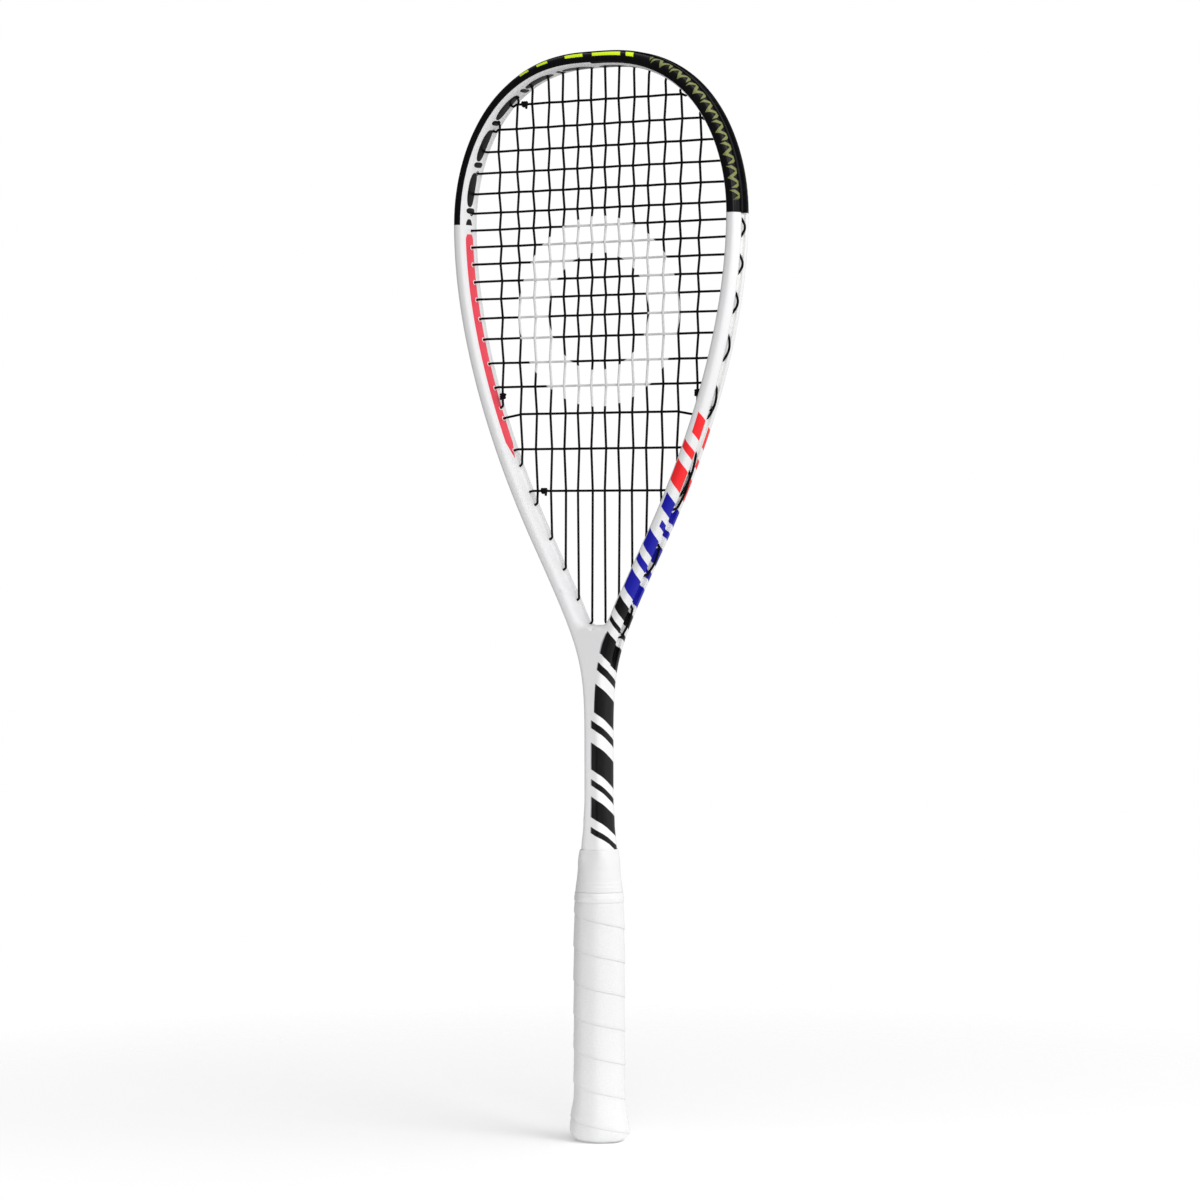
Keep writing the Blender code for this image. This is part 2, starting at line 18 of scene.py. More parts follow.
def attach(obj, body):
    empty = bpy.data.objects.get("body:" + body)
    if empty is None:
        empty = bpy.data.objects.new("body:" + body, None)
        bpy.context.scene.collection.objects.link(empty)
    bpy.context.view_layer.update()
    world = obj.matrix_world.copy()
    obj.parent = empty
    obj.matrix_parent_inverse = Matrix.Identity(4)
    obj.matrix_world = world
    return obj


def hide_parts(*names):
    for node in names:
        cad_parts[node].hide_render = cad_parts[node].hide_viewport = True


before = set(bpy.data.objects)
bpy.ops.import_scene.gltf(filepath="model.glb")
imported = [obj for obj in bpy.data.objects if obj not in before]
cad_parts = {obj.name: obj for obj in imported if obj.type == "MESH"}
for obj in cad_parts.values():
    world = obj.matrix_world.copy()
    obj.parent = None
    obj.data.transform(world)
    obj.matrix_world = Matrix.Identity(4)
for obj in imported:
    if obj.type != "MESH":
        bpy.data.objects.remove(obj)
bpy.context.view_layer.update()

MM = 0.001

# ---- driving dimensions, most of them the CAD model's --------------------------------
SPANS = (((0.0, 680.6), (16.6, 680.6), (41.0, 681.2), (65.0, 662.7)),
         ((65.0, 662.7), (87.4, 645.3), (100.9, 614.3), (100.9, 581.0)),
         ((100.9, 581.0), (100.9, 513.0), (74.3, 439.8), (41.7, 378.7)),
         ((41.7, 378.7), (5.5, 310.8), (2.4, 304.5), (2.4, 252.5)))
SHAFT_X = 2.4
SHAFT_STEPS = ((252.5, 7.0, 9.5), (215.0, 7.0, 9.5), (200.0, 7.9, 9.9), (184.0, 9.4, 10.6),
               (165.0, 9.6, 10.2), (150.0, 9.6, 10.0), (30.0, 9.6, 10.0))  # z, half w, half d
SPAN_POINTS, SHAFT_POINTS = 121, 112
HALF_W, HALF_T = 4.6, 9.5
SQUARENESS = 3.0
GROOVE_DEPTH = 2.6
GROOVE_END_Z = (309.0, 294.0)
CROTCH = ((0.0, 325.3), (4.0, 325.5), (7.0, 326.3), (9.6, 328.3), (12.0, 332.3),
          (15.3, 339.3), (19.4, 347.2))
CENTRE_FOOT = (0.55, 7.4)

MAIN_X = (5.0, 15.3, 26.0, 36.9, 48.7, 60.6, 74.6)
MAIN_REF_Z, MAIN_LEAN = 620.0, 0.0003
CROSS_Z = (656.0, 640.7, 626.9, 613.4, 600.5, 588.0, 577.2, 566.4, 555.5,
           544.3, 533.0, 520.8, 507.5, 491.9, 476.5, 459.1, 436.7, 410.1)
STRING_R, WEAVE = 0.76, 0.83            # thicker strings than the CAD's
LOOP_A, LOOP_B = 3.95, 1.5
SIDE_LOOP = (-0.2, 1.7)    # how far back a side loop lies, and how far it stands out
FOOT_BULGE = 1.3           # how far a loop at the mains' lower ends stands out
TURN, PAST, TAIL = 1.6, 1.0, 3.0

BARREL_R, BORE_R = 1.55, 1.05
HOLE_PITCH, HOLE_TILT = 4.8, 0.25
WIDEST_Z, FOOT_END_Z, SIDE_HOLES_END_Z = 580.9, 295.0, 380.0   # heights between which
SIDE_HOLES_S = 40.0                                            # and length from which holes lie
BARREL_PROUD, MOUTH_PROUD = 0.15, 2.2   # barrel tip and string bend, in from the inner wall
SIDE_TOP_Z, SIDE_END_Z = 579.6, 404.0   # the side strips start higher than the CAD's
STRIP_A, STRIP_HALF, STRIP_RAIL, SIDE_RAIL_A = (2.3, 3.0), 2.9, 0.5, 4.4
BUMPER_LIP = (4.8, 5.4, 4.4)
EYELET_R = 2.5

OVAL = 0.86
TAPE_OUTER = ((0.9, 16.6), (2.6, 18.4), (5.4, 19.4), (8.0, 19.6), (13.6, 19.0), (19.8, 18.0),
              (26.0, 17.0), (32.0, 16.8), (108.0, 16.8), (133.0, 16.6), (151.0, 16.1))
TAPE_INNER = ((0.9, 15.9), (8.0, 18.1), (20.0, 16.5), (30.0, 15.35), (120.0, 15.35),
              (151.0, 14.95))
TAPE_PITCH, TAPE_STEP = 21.5, 0.5      # rise of one turn, and how proud its lower edge is
TAPE_START, TAPE_SUNK = 5.0, 0.35      # first edge above the foot; valleys inside TAPE_OUTER
# Slimmer than the CAD's boot: height, half width, half depth and exponent of its outline.
COLLAR = ((157.2, 15.5, 13.3, 2.1), (165.0, 14.0, 12.8, 2.2), (171.5, 12.9, 12.4, 2.4),
          (178.0, 11.7, 11.9, 3.2), (184.0, 10.0, 11.2, 4.0))
COLLAR_HOLES = ((9.55, 10.75, 4.5), (9.95, 10.5, 4.0))         # opening at its top and foot
COLLAR_RINGS, RING_RISE, RING_WIDE = (160.6, 163.0), 0.16, 0.5
SIDES = 96                                                     # of the band, boot and cap

# ---- colours (linear) -----------------------------------------------------------------
WHITE, INK = (0.84, 0.84, 0.85), (0.004, 0.004, 0.005)
CORAL, RED, BLUE = (0.83, 0.065, 0.10), (0.92, 0.03, 0.035), (0.012, 0.012, 0.36)
YELLOW, OLIVE = (0.72, 0.95, 0.012), (0.20, 0.215, 0.075)


# ---- centreline of the frame tube -----------------------------------------------------
def smooth_line():
    """Half centreline from the tip to the foot of the shaft: lists of s, x, z and normal."""
    points = []
    for span in SPANS:
        curve = interpolate_bezier(*[Vector((x, 0, z)) for x, z in span], SPAN_POINTS)
        points += curve[1:] if points else curve
    top, foot = SHAFT_STEPS[0][0], SHAFT_STEPS[-1][0]
    points += [Vector((SHAFT_X, 0, z)) for z in np.linspace(top, foot, SHAFT_POINTS)[1:]]
    s, rows = 0.0, []
    for i, point in enumerate(points):
        ahead = points[min(i + 1, len(points) - 1)] - points[max(i - 1, 0)]
        if i == 0:
            ahead = Vector((1, 0, 0))
        else:
            s += (point - points[i - 1]).length
        ahead.normalize()
        rows.append((s, point, Vector((-ahead.z, 0, ahead.x))))
    return rows


LINE = smooth_line()
LINE_S = [row[0] for row in LINE]


def at(s):
    """Centreline point and outward direction at arc length s from the tip."""
    i = min(max(bisect.bisect_left(LINE_S, s), 1), len(LINE) - 1)
    (s0, p0, n0), (s1, p1, n1) = LINE[i - 1], LINE[i]
    t = (s - s0) / (s1 - s0)
    return p0.lerp(p1, t), n0.lerp(n1, t).normalized()


def offset(s, a, b=0.0):
    """Point a out from the centreline and b behind the string bed."""
    point, normal = at(s)
    return point + normal * a + Vector((0, b, 0))


def s_at_height(z):
    for (s0, p0, _), (s1, p1, _) in zip(LINE, LINE[1:]):
        if p0.z >= z > p1.z:
            return s0 + (s1 - s0) * (p0.z - z) / (p0.z - p1.z)
    return 0.0


def ramp(z, full, none):
    return min(1.0, max(0.0, (z - none) / (full - none)))


def soft(t):
    return t * t * (3 - 2 * t)


def smooth_steps(z, steps, column):
    """Value of a column of steps at height z, eased between the steps."""
    for high, low in zip(steps, steps[1:]):
        if high[0] >= z >= low[0]:
            t = soft((high[0] - z) / (high[0] - low[0]))
            return high[column] + (low[column] - high[column]) * t
    return steps[0][column] if z > steps[0][0] else steps[-1][column]


# ---- string holes ---------------------------------------------------------------------
class Hole:
    """A grommet hole on the right half of the hoop."""

    def __init__(self, kind, index, s, pull):
        self.kind, self.index, self.s, self.pull = kind, index, s, Vector(pull)
        self.tilt, self.reach = HOLE_TILT, HALF_W
        if kind == "foot" and index == 0:
            self.tilt, self.reach = CENTRE_FOOT
        elif kind == "foot" and index < 5:
            self.tilt = 0.0

    @property
    def axis(self):
        return (at(self.s)[1] + self.pull * self.tilt).normalized()

    def along(self, a):
        """Point on the hole's axis at distance a out from the centreline."""
        point, normal = at(self.s)
        axis = self.axis
        return point + axis * (a / axis.dot(normal))

    def inside(self, proud):
        return self.along(-self.reach - proud)

    @property
    def mouth(self):
        return self.inside(MOUTH_PROUD)


def main_x(index, z):
    x = MAIN_X[index]
    return x - (MAIN_REF_Z - z) * MAIN_LEAN * max(0.0, x - 10.0)


def find_hole(kind, index):
    """Hole whose inner mouth lies on its string's line, to a quarter of a millimetre."""
    pull = {"head": (0, 0, 1), "foot": (0, 0, -1), "side": (1, 0, 0)}[kind]
    middle = s_at_height(WIDEST_Z)
    low, high = {"head": (0.0, middle), "foot": (middle, s_at_height(FOOT_END_Z)),
                 "side": (SIDE_HOLES_S, s_at_height(SIDE_HOLES_END_Z))}[kind]
    best = None
    for step in range(int((high - low) * 4)):
        hole = Hole(kind, index, low + step / 4, pull)
        mouth = hole.mouth
        if kind == "side":
            miss = abs(mouth.z - CROSS_Z[index])
        else:
            miss = abs(mouth.x - main_x(index, mouth.z))
        if best is None or miss < best[0]:
            best = (miss, hole)
    return best[1]


def make_holes():
    """Every hole of the right half, spread so that no two come too close."""
    holes = [find_hole("head", i) for i in range(7)]
    holes += [find_hole("side", i) for i in range(len(CROSS_Z))]
    holes += [find_hole("foot", i) for i in range(7)]
    holes.sort(key=lambda h: h.s)
    for _ in range(60):
        for a, b in zip(holes, holes[1:]):
            short = HOLE_PITCH - min((a.along(r) - b.along(r)).length
                                     for r in (-HALF_W - 3, HALF_W))
            if short > 0.01:
                a.s -= short / 2
                b.s += short / 2
    return holes


HOLES = make_holes()
BY_NAME = {(hole.kind, hole.index): hole for hole in HOLES}


def flip(points, side):
    return [Vector((p.x * side, p.y, p.z)) for p in points]


# ---- meshes ---------------------------------------------------------------------------
def sweep(rings, along, around, cap_first=True, cap_last=True, shift=0):
    """bmesh skinned over closed rings (in mm), with a paint map of along by around.

    shift rows are skipped where a ring closes on itself, which makes a helix of the rows.
    """
    bm = bmesh.new()
    rows = [[bm.verts.new(Vector(p) * MM) for p in ring] for ring in rings]
    paint = bm.loops.layers.uv.new("paint")
    count = len(rows[0])
    for i in range(len(rows) - 1):
        for j in range(count):
            k = (j + 1) % count
            lift = shift if k == 0 else 0
            if i + 1 + lift >= len(rows):
                continue
            face = bm.faces.new((rows[i][j], rows[i + lift][k], rows[i + 1 + lift][k],
                                 rows[i + 1][j]))
            corners = ((i, j), (i, j + 1), (i + 1, j + 1), (i + 1, j))
            for corner, (a, b) in zip(face.loops, corners):
                corner[paint].uv = (along[a], around[b])
    if cap_first:
        bm.faces.new(rows[0])
    if cap_last:
        bm.faces.new(rows[-1])
    return bm


def circle(bm, centre, across, other, radius, sides):
    """Ring of vertices about a centre."""
    turns = (2 * math.pi * i / sides for i in range(sides))
    return [bm.verts.new((centre + (across * math.cos(a) + other * math.sin(a)) * radius) * MM)
            for a in turns]


def skin(bm, rows):
    """Faces from each ring of vertices to the next."""
    for low, high in zip(rows, rows[1:]):
        for i in range(len(low)):
            j = (i + 1) % len(low)
            bm.faces.new((low[i], low[j], high[j], high[i]))


def add_turned(bm, start, end, profile, sides=20):
    """Closed tube turned about the line from start to end; profile is (share, out, radius)."""
    start, end = Vector(start), Vector(end)
    axis = (end - start).normalized()
    across = axis.cross(Vector((0, 1, 0))).normalized()
    other = axis.cross(across)
    rows = []
    for share, extra, radius in profile:
        centre = start.lerp(end, share) + axis * extra
        rows.append(circle(bm, centre, across, other, radius, sides))
    skin(bm, rows + rows[:1])


def put(name, data):
    """New object in the scene."""
    obj = bpy.data.objects.new(name, data)
    bpy.context.scene.collection.objects.link(obj)
    return obj


def piece(name, bm, mat, slot, *nodes, sharp=35.0):
    """Object that rides on the racket's one body and stands for some CAD nodes."""
    mesh = bpy.data.meshes.new(name)
    bmesh.ops.recalc_face_normals(bm, faces=bm.faces)
    bm.to_mesh(mesh)
    bm.free()
    mesh.shade_smooth()
    mesh.set_sharp_from_angle(angle=math.radians(sharp))
    mesh.materials.append(mat)
    obj = put(name, mesh)
    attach(obj, "root")
    if nodes:
        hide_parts(*nodes)
    return obj


# ---- shader helpers -------------------------------------------------------------------
class Field:
    """A number that varies over a surface; arithmetic on it adds Math nodes."""

    def __init__(self, tree, socket):
        self.tree, self.socket = tree, socket

    def math(self, operation, *others, clamp=False):
        node = self.tree.nodes.new("ShaderNodeMath")
        node.operation, node.use_clamp = operation, clamp
        for slot, value in enumerate((self,) + others):
            if isinstance(value, Field):
                self.tree.links.new(value.socket, node.inputs[slot])
            else:
                node.inputs[slot].default_value = value
        return Field(self.tree, node.outputs[0])

    __add__ = partialmethod(math, "ADD")
    __sub__ = partialmethod(math, "SUBTRACT")
    __mul__ = partialmethod(math, "MULTIPLY")
    __truediv__ = partialmethod(math, "DIVIDE")
    __neg__ = partialmethod(math, "MULTIPLY", -1.0)
    __or__ = partialmethod(math, "MAXIMUM")
    __abs__ = partialmethod(math, "ABSOLUTE")

    def __invert__(self):
        return (-self) + 1.0

    def above(self, edge, blur=0.08):
        return ((self - edge) / (2 * blur)).math("ADD", 0.5, clamp=True)

    def below(self, edge, blur=0.08):
        return ~self.above(edge, blur)

    def within(self, low, high, blur=0.08):
        return self.above(low, blur) * self.below(high, blur)

    def cycle(self, period):
        """Distance past the last whole period."""
        return self.math("FLOORED_MODULO", period)


class Finish:
    """A Principled material and the fields that drive it."""

    def __init__(self, name, roughness, coat=0.0, coat_roughness=0.1, sheen=0.0, subsurface=0.0,
                 specular=0.5):
        self.mat = bpy.data.materials.new(name)
        self.mat.use_nodes = True
        self.tree = self.mat.node_tree
        self.shader = self.tree.nodes["Principled BSDF"]
        for socket, value in (("Roughness", roughness), ("Coat Weight", coat),
                              ("Coat Roughness", coat_roughness), ("Sheen Weight", sheen),
                              ("Subsurface Weight", subsurface),
                              ("Specular IOR Level", specular)):
            self.shader.inputs[socket].default_value = value
        if subsurface:
            self.shader.inputs["Subsurface Radius"].default_value = (0.002, 0.002, 0.002)
        self.height = None
        self.place = self.tree.nodes.new("ShaderNodeTexCoord").outputs["Object"]

    def link(self, a, b):
        self.tree.links.new(a, b)

    def split(self, socket):
        node = self.tree.nodes.new("ShaderNodeSeparateXYZ")
        self.link(socket, node.inputs[0])
        return [Field(self.tree, out) for out in node.outputs]

    def xyz(self):
        """Place in the CAD frame, in millimetres."""
        return [axis * 1000.0 for axis in self.split(self.place)]

    def paint_map(self):
        node = self.tree.nodes.new("ShaderNodeUVMap")
        node.uv_map = "paint"
        return self.split(node.outputs[0])[:2]

    def texture(self, kind, size, stretch=(1, 1, 1)):
        """Texture node with features of about size millimetres."""
        scale = self.tree.nodes.new("ShaderNodeVectorMath")
        scale.operation = "MULTIPLY"
        self.link(self.place, scale.inputs[0])
        scale.inputs[1].default_value = [1000.0 / size / k for k in stretch]
        node = self.tree.nodes.new(kind)
        node.inputs["Scale"].default_value = 1.0
        self.link(scale.outputs[0], node.inputs["Vector"])
        return node

    def noise(self, size, detail=3.0, stretch=(1, 1, 1)):
        """Noise from 0 to 1."""
        node = self.texture("ShaderNodeTexNoise", size, stretch)
        node.inputs["Detail"].default_value = detail
        return Field(self.tree, node.outputs["Fac"])

    def cells(self, size):
        """Distance from the middle of the nearest cell, 0 to about 1."""
        node = self.texture("ShaderNodeTexVoronoi", size)
        return Field(self.tree, node.outputs["Distance"])

    def colour(self, first, *layers):
        """Base colour, then (mask, colour) layers over it."""
        current = first
        for mask, shade in layers:
            node = self.tree.nodes.new("ShaderNodeMix")
            node.data_type = "RGBA"
            self.link(mask.socket, node.inputs[0])
            for slot, value in ((6, current), (7, shade)):
                if isinstance(value, tuple):
                    node.inputs[slot].default_value = (*value, 1.0)
                else:
                    self.link(value, node.inputs[slot])
            current = node.outputs[2]
        self.link(current, self.shader.inputs["Base Color"])
        return self

    def rough(self, field):
        self.link(field.socket, self.shader.inputs["Roughness"])
        return self

    def bump(self, field, height_mm):
        """Relief of the given height; field runs from 0 to 1."""
        node = self.tree.nodes.new("ShaderNodeBump")
        node.inputs["Strength"].default_value = 1.0
        node.inputs["Distance"].default_value = height_mm * MM
        self.link(field.socket, node.inputs["Height"])
        if self.height:
            self.link(self.height, node.inputs["Normal"])
        self.height = node.outputs[0]
        self.link(self.height, self.shader.inputs["Normal"])
        return self


def tinted(colour, gain):
    return tuple(min(1.0, c * gain) for c in colour)


# ---- painted frame --------------------------------------------------------------------
def crotch_line():
    """Floor of the throat, rounded between its points, axis outwards."""
    knots = [Vector((-CROTCH[1][0], 0, CROTCH[1][1]))] + [Vector((x, 0, z)) for x, z in CROTCH]
    knots.append(knots[-1] * 2 - knots[-2])
    line = []
    for a, b, c, d in zip(knots, knots[1:], knots[2:], knots[3:]):
        for i in range(8):
            t = i / 8
            line.append((b * 2 + (c - a) * t + (a * 2 - b * 5 + c * 4 - d) * t ** 2
                         + (b * 3 - a - c * 3 + d) * t ** 3) / 2)
    return line + [knots[-2]]


THROAT_LINE = crotch_line()
PAST_AXIS, PAST_MORE, MORE_BELOW = 1.12, 1.1, 8.0   # how far past the axis both arms overlap


def inner_reach(point, normal):
    """Distance inwards to the tube's inner side, and how far below the throat's floor it is."""
    if point.z > THROAT_LINE[-1].z:
        return HALF_W, None
    for a, b in zip(THROAT_LINE, THROAT_LINE[1:]):
        edge = b - a
        cross = edge.x * normal.z - edge.z * normal.x
        if abs(cross) < 1e-9:
            continue
        reach = (edge.x * (point.z - a.z) - edge.z * (point.x - a.x)) / cross
        share = (normal.x * (a.z - point.z) - normal.z * (a.x - point.x)) / cross
        if 0 <= share <= 1 and reach > 0:
            return max(HALF_W, reach), None
    to_axis = point.x / normal.x
    below = CROTCH[0][1] - (point.z - normal.z * to_axis)
    return max(HALF_W, to_axis * (PAST_AXIS + PAST_MORE * min(1.0, below / MORE_BELOW))), below


def outline(angle, out, deep):
    c, s = math.cos(angle), math.sin(angle)
    return (math.copysign(out * abs(c) ** (2 / SQUARENESS), c), deep * abs(s) ** (2 / SQUARENESS))


GROOVE_B = ((0.0, 1.0), (1.6, 1.0), (2.75, 1.0), (3.05, 0.93), (3.2, 0.8), (3.2, 0.2),
            (3.3, 0.06), (3.55, 0.0))       # distance from the groove's middle, share of its depth
SIDE_ANGLES = [math.radians(a) for a in (16, 20, 25, *range(31, 80, 6), 85, 90, 95,
                                         *range(101, 162, 6), 167, 172, 176, 180)]
THROAT_Z = (350.0, 285.0)          # rings lie closer together between these heights
RING_COUNTS = (190, 70, 90)        # above the throat, through it and below it


def frame_section(s):
    """Half of the tube's section at arc length s: (out, back) from the groove inwards."""
    point, normal = at(s)
    z = point.z
    out, deep = HALF_W, HALF_T
    straight = z < SHAFT_STEPS[0][0]
    if straight:
        out = smooth_steps(z, SHAFT_STEPS, 1) - SHAFT_X
        deep = smooth_steps(z, SHAFT_STEPS, 2)
    inside, below = inner_reach(point, normal)
    groove = soft(ramp(z, *GROOVE_END_Z))
    half = []
    for b, share in GROOVE_B:
        plain = out * (1 - (b / deep) ** SQUARENESS) ** (1 / SQUARENESS)
        half.append((plain - (plain - out + GROOVE_DEPTH) * share * groove, b))
    for angle in SIDE_ANGLES:
        a, b = outline(angle, out if angle < math.pi / 2 else inside, deep)
        if below is not None and math.pi / 2 < angle < math.radians(120):
            b = deep
        half.append((a, b))
    return half


def section_share():
    """How far round the section each point of the half lies, from 0 to 0.5."""
    points = [(HALF_W, b) for b, _ in GROOVE_B]
    points += [outline(a, HALF_W, HALF_T) for a in SIDE_ANGLES]
    length = [0.0]
    for (a0, b0), (a1, b1) in zip(points, points[1:]):
        length.append(length[-1] + math.hypot(a1 - a0, b1 - b0))
    return [v / length[-1] / 2 for v in length], length[-1] * 2


SHARE, GIRTH = section_share()


def frame_stops():
    """Arc lengths of the frame's rings, closer together round the throat."""
    ends = [0.0, *[s_at_height(z) for z in THROAT_Z], LINE_S[-1]]
    stops = [0.0]
    for low, high, count in zip(ends, ends[1:], RING_COUNTS):
        stops += list(np.linspace(low, high, count))[1:]
    return stops


def make_frame(mat):
    stops = frame_stops()
    rings = []
    for s in stops:
        point, normal = at(s)
        half = frame_section(s)
        loop_points = half + [(a, -b) for a, b in reversed(half[1:-1])]
        rings.append([point + normal * a + Vector((0, b, 0)) for a, b in loop_points])
    around = SHARE + [1 - v for v in reversed(SHARE[:-1])]
    bm = sweep(rings, [s / 100 for s in stops], around, cap_first=False)
    geometry = bm.verts[:] + bm.edges[:] + bm.faces[:]
    cut = bmesh.ops.bisect_plane(bm, geom=geometry, plane_co=(0, 0, 0), plane_no=(1, 0, 0),
                                 clear_inner=True)
    for item in cut["geom_cut"]:
        if isinstance(item, bmesh.types.BMVert):
            item.co.x = 0.0
    for vert in bm.verts:
        if vert.co.x < 1e-6:
            vert.co.x = 0.0
    middle = [f for f in bm.faces if all(v.co.x == 0.0 for v in f.verts)]
    bmesh.ops.delete(bm, geom=middle, context='FACES')
    twin = bmesh.ops.duplicate(bm, geom=bm.verts[:] + bm.edges[:] + bm.faces[:])["geom"]
    for item in twin:
        if isinstance(item, bmesh.types.BMVert):
            item.co.x = -item.co.x
        elif isinstance(item, bmesh.types.BMFace):
            item.normal_flip()
    bmesh.ops.remove_doubles(bm, verts=bm.verts, dist=2e-6)
    bmesh.ops.dissolve_degenerate(bm, edges=bm.edges, dist=1e-7)
    return piece("carbon_tube", bm, mat, "carbon_paint", "frame", sharp=32)


class Markings:
    """Plain painted shapes on the frame, in millimetres along and round the tube."""

    def __init__(self, finish):
        u, v = finish.paint_map()
        self.s = u * 100.0                                       # from the tip
        self.inner = (v - 0.5) * GIRTH                           # from the inner wall's middle
        self.outer = ((v + 0.5).cycle(1.0) - 0.5) * GIRTH        # from the groove, front below 0
        self.right = finish.xyz()[0].above(0.0, 0.5)
        self.signed = self.s * (self.right * 2.0 - 1.0)          # negative on the left

    def slanted(self, s0, s1, w0, w1, lean):
        """Bar from s0 to s1 and w0 to w1, leaning by lean per millimetre round the tube."""
        return (self.s + self.outer * lean).within(s0, s1, 0.15) * self.outer.within(w0, w1, 0.15)


HEAD_END_Z, HEAD_WRAP, LEFT_LESS = 580.6, 15.4, 1.1     # black: its end, and its reach round
DASH_PITCH = 31.0
DASH = ((14.0, 11.5, 2.6), (2.4, 3.7, 3.0))            # middle, half size and power, along
NICK = ((28.0, 1.9, 2.0), (1.2, 4.4, 4.0))             # the tube and then round it
STRIPE_Z, STRIPE_MIDDLE, STRIPE_HALF = (574.8, 429.0), 2.1, 3.9
STRIPE_POINT, STRIPE_TOP = 11.0, 4.0                   # lengths of its two ends
HOOK_PITCH, HOOK_START, HOOK_REACH = 7.4, 3.6, 6.6
HOOK_HALF, HOOK_GAP, HOOKS_FROM, HOOKS_SHORT = 1.9, 1.2, 42.0, 8.0
FLASHES = ((-53.5, -46.5), (-40.0, -32.0), (-19.0, -6.0), (1.0, 21.5), (25.5, 31.0))
FLASH_LEAN, FLASH_SHIFT, FLASH_REACH = 0.5, 5.0, (-10.4, -4.0)

# Bars down the right-hand arm: lower and upper height, and where they start round the tube.
RED_BARS = ((440.0, 452.5, -11.0), (428.0, 433.0, -14.5), (408.0, 421.0, -14.5))
BLUE_BARS = ((392.5, 401.5, -13.0), (384.0, 388.0, -9.0), (368.0, 378.0, -14.5),
             (358.5, 363.0, -14.5), (341.5, 353.0, -14.5))
INK_BARS = ((328.0, 336.0, -14.5), (320.0, 323.0, -14.5), (300.0, 314.5, -12.5),
            (289.5, 294.5, -12.5), (263.0, 281.0, -12.5), (252.0, 257.0, -16.0),
            (226.0, 243.0, -16.0), (216.0, 220.0, -18.0), (196.0, 209.0, -18.0),
            (186.0, 190.0, -21.0))
BAR_LEAN, BAR_END = -0.62, 10.0


def spot(along, across, sizes):
    """Rounded spot, 1 inside, from its middle, half size and power along and across."""
    terms = [(abs(field - middle) / half).math("POWER", power)
             for field, (middle, half, power) in zip((along, across), sizes)]
    return (terms[0] + terms[1]).below(1.0, 0.05)


def bars(marks, rows):
    """Every bar of one colour."""
    shape = None
    for z_low, z_high, start in rows:
        bar = marks.slanted(s_at_height(z_high), s_at_height(z_low), start, BAR_END, BAR_LEAN)
        shape = bar if shape is None else shape | bar
    return shape


def frame_paint():
    finish = Finish("frame_paint", 0.3, coat=0.06, coat_roughness=0.1, specular=0.12)
    marks = Markings(finish)
    s, outer, inner, right = marks.s, marks.outer, marks.inner, marks.right
    head_end = s_at_height(HEAD_END_Z)
    head = s.below(head_end, 0.15)
    wrap = (abs(outer) + ~right * LEFT_LESS).below(HEAD_WRAP, 0.12)
    # dashes and nicks along the inner wall of the head
    place = s.cycle(DASH_PITCH)
    black = head * wrap | ((spot(place, inner, DASH) | spot(place, inner, NICK)) * head)
    # stripe down the inner wall, rounded at its top and running out to a short point
    stripe_start, stripe_end = [s_at_height(z) for z in STRIPE_Z]
    taper = (-s + stripe_end).math("DIVIDE", STRIPE_POINT, clamp=True)
    near_top = ((-s + stripe_start + STRIPE_TOP) / STRIPE_TOP).math("MAXIMUM", 0.0)
    near_top = near_top.math("POWER", 2.0)
    stripe = (abs(inner - STRIPE_MIDDLE) - taper * STRIPE_HALF + near_top * 1.5).below(0.0, 0.12)
    stripe = stripe * s.within(stripe_start, stripe_end)
    # olive zigzag of short hooks on the outer side of the head's right half
    zig = abs(s.cycle(HOOK_PITCH) - HOOK_PITCH / 2) * (2 * HOOK_REACH / HOOK_PITCH)
    hook = abs(abs(outer) - HOOK_START - zig).below(HOOK_HALF, 0.15)
    hook = hook * (s + 1.0).cycle(HOOK_PITCH * 2).above(HOOK_GAP, 0.1)
    hook = hook * s.within(HOOKS_FROM, head_end - HOOKS_SHORT, 1.0) * right
    # flashes over the crown's edge
    flash = None
    for low, high in FLASHES:
        bar = (marks.signed + outer * FLASH_LEAN + FLASH_SHIFT).within(low, high, 0.15)
        flash = bar if flash is None else flash | bar
    flash = flash * outer.within(*FLASH_REACH)
    # slanted bars of many widths down the front of the right-hand arm and the shaft
    red, blue, ink = [bars(marks, rows) * right for rows in (RED_BARS, BLUE_BARS, INK_BARS)]

    cloud = finish.noise(40.0, 2.0)
    speck = finish.noise(0.5, 2.0)
    white = finish.noise(9.0, 3.0).above(0.5, 0.5) * 0.10
    fibre = finish.noise(1.4, 2.0, stretch=(1, 1, 6)).above(0.55, 0.1) * 0.35
    finish.colour(WHITE, (white, tinted(WHITE, 0.93)), (black | ink, INK),
                  ((black | ink) * fibre, (0.010, 0.010, 0.011)), (stripe, CORAL), (red, RED),
                  (blue, BLUE), (hook * head, OLIVE), (flash * head, YELLOW))
    finish.rough(cloud * 0.10 + speck * 0.06 + 0.24)
    finish.bump(finish.noise(3.0, 2.0), 0.012)
    finish.bump(black | ink | red | blue | stripe, 0.02)
    return finish.mat


# ---- grommets -------------------------------------------------------------------------
STRIP_PITCH = 2.2              # length between a strip's rings
BUMPER_GAP = 1.5               # from the end of the bumper to the side strips


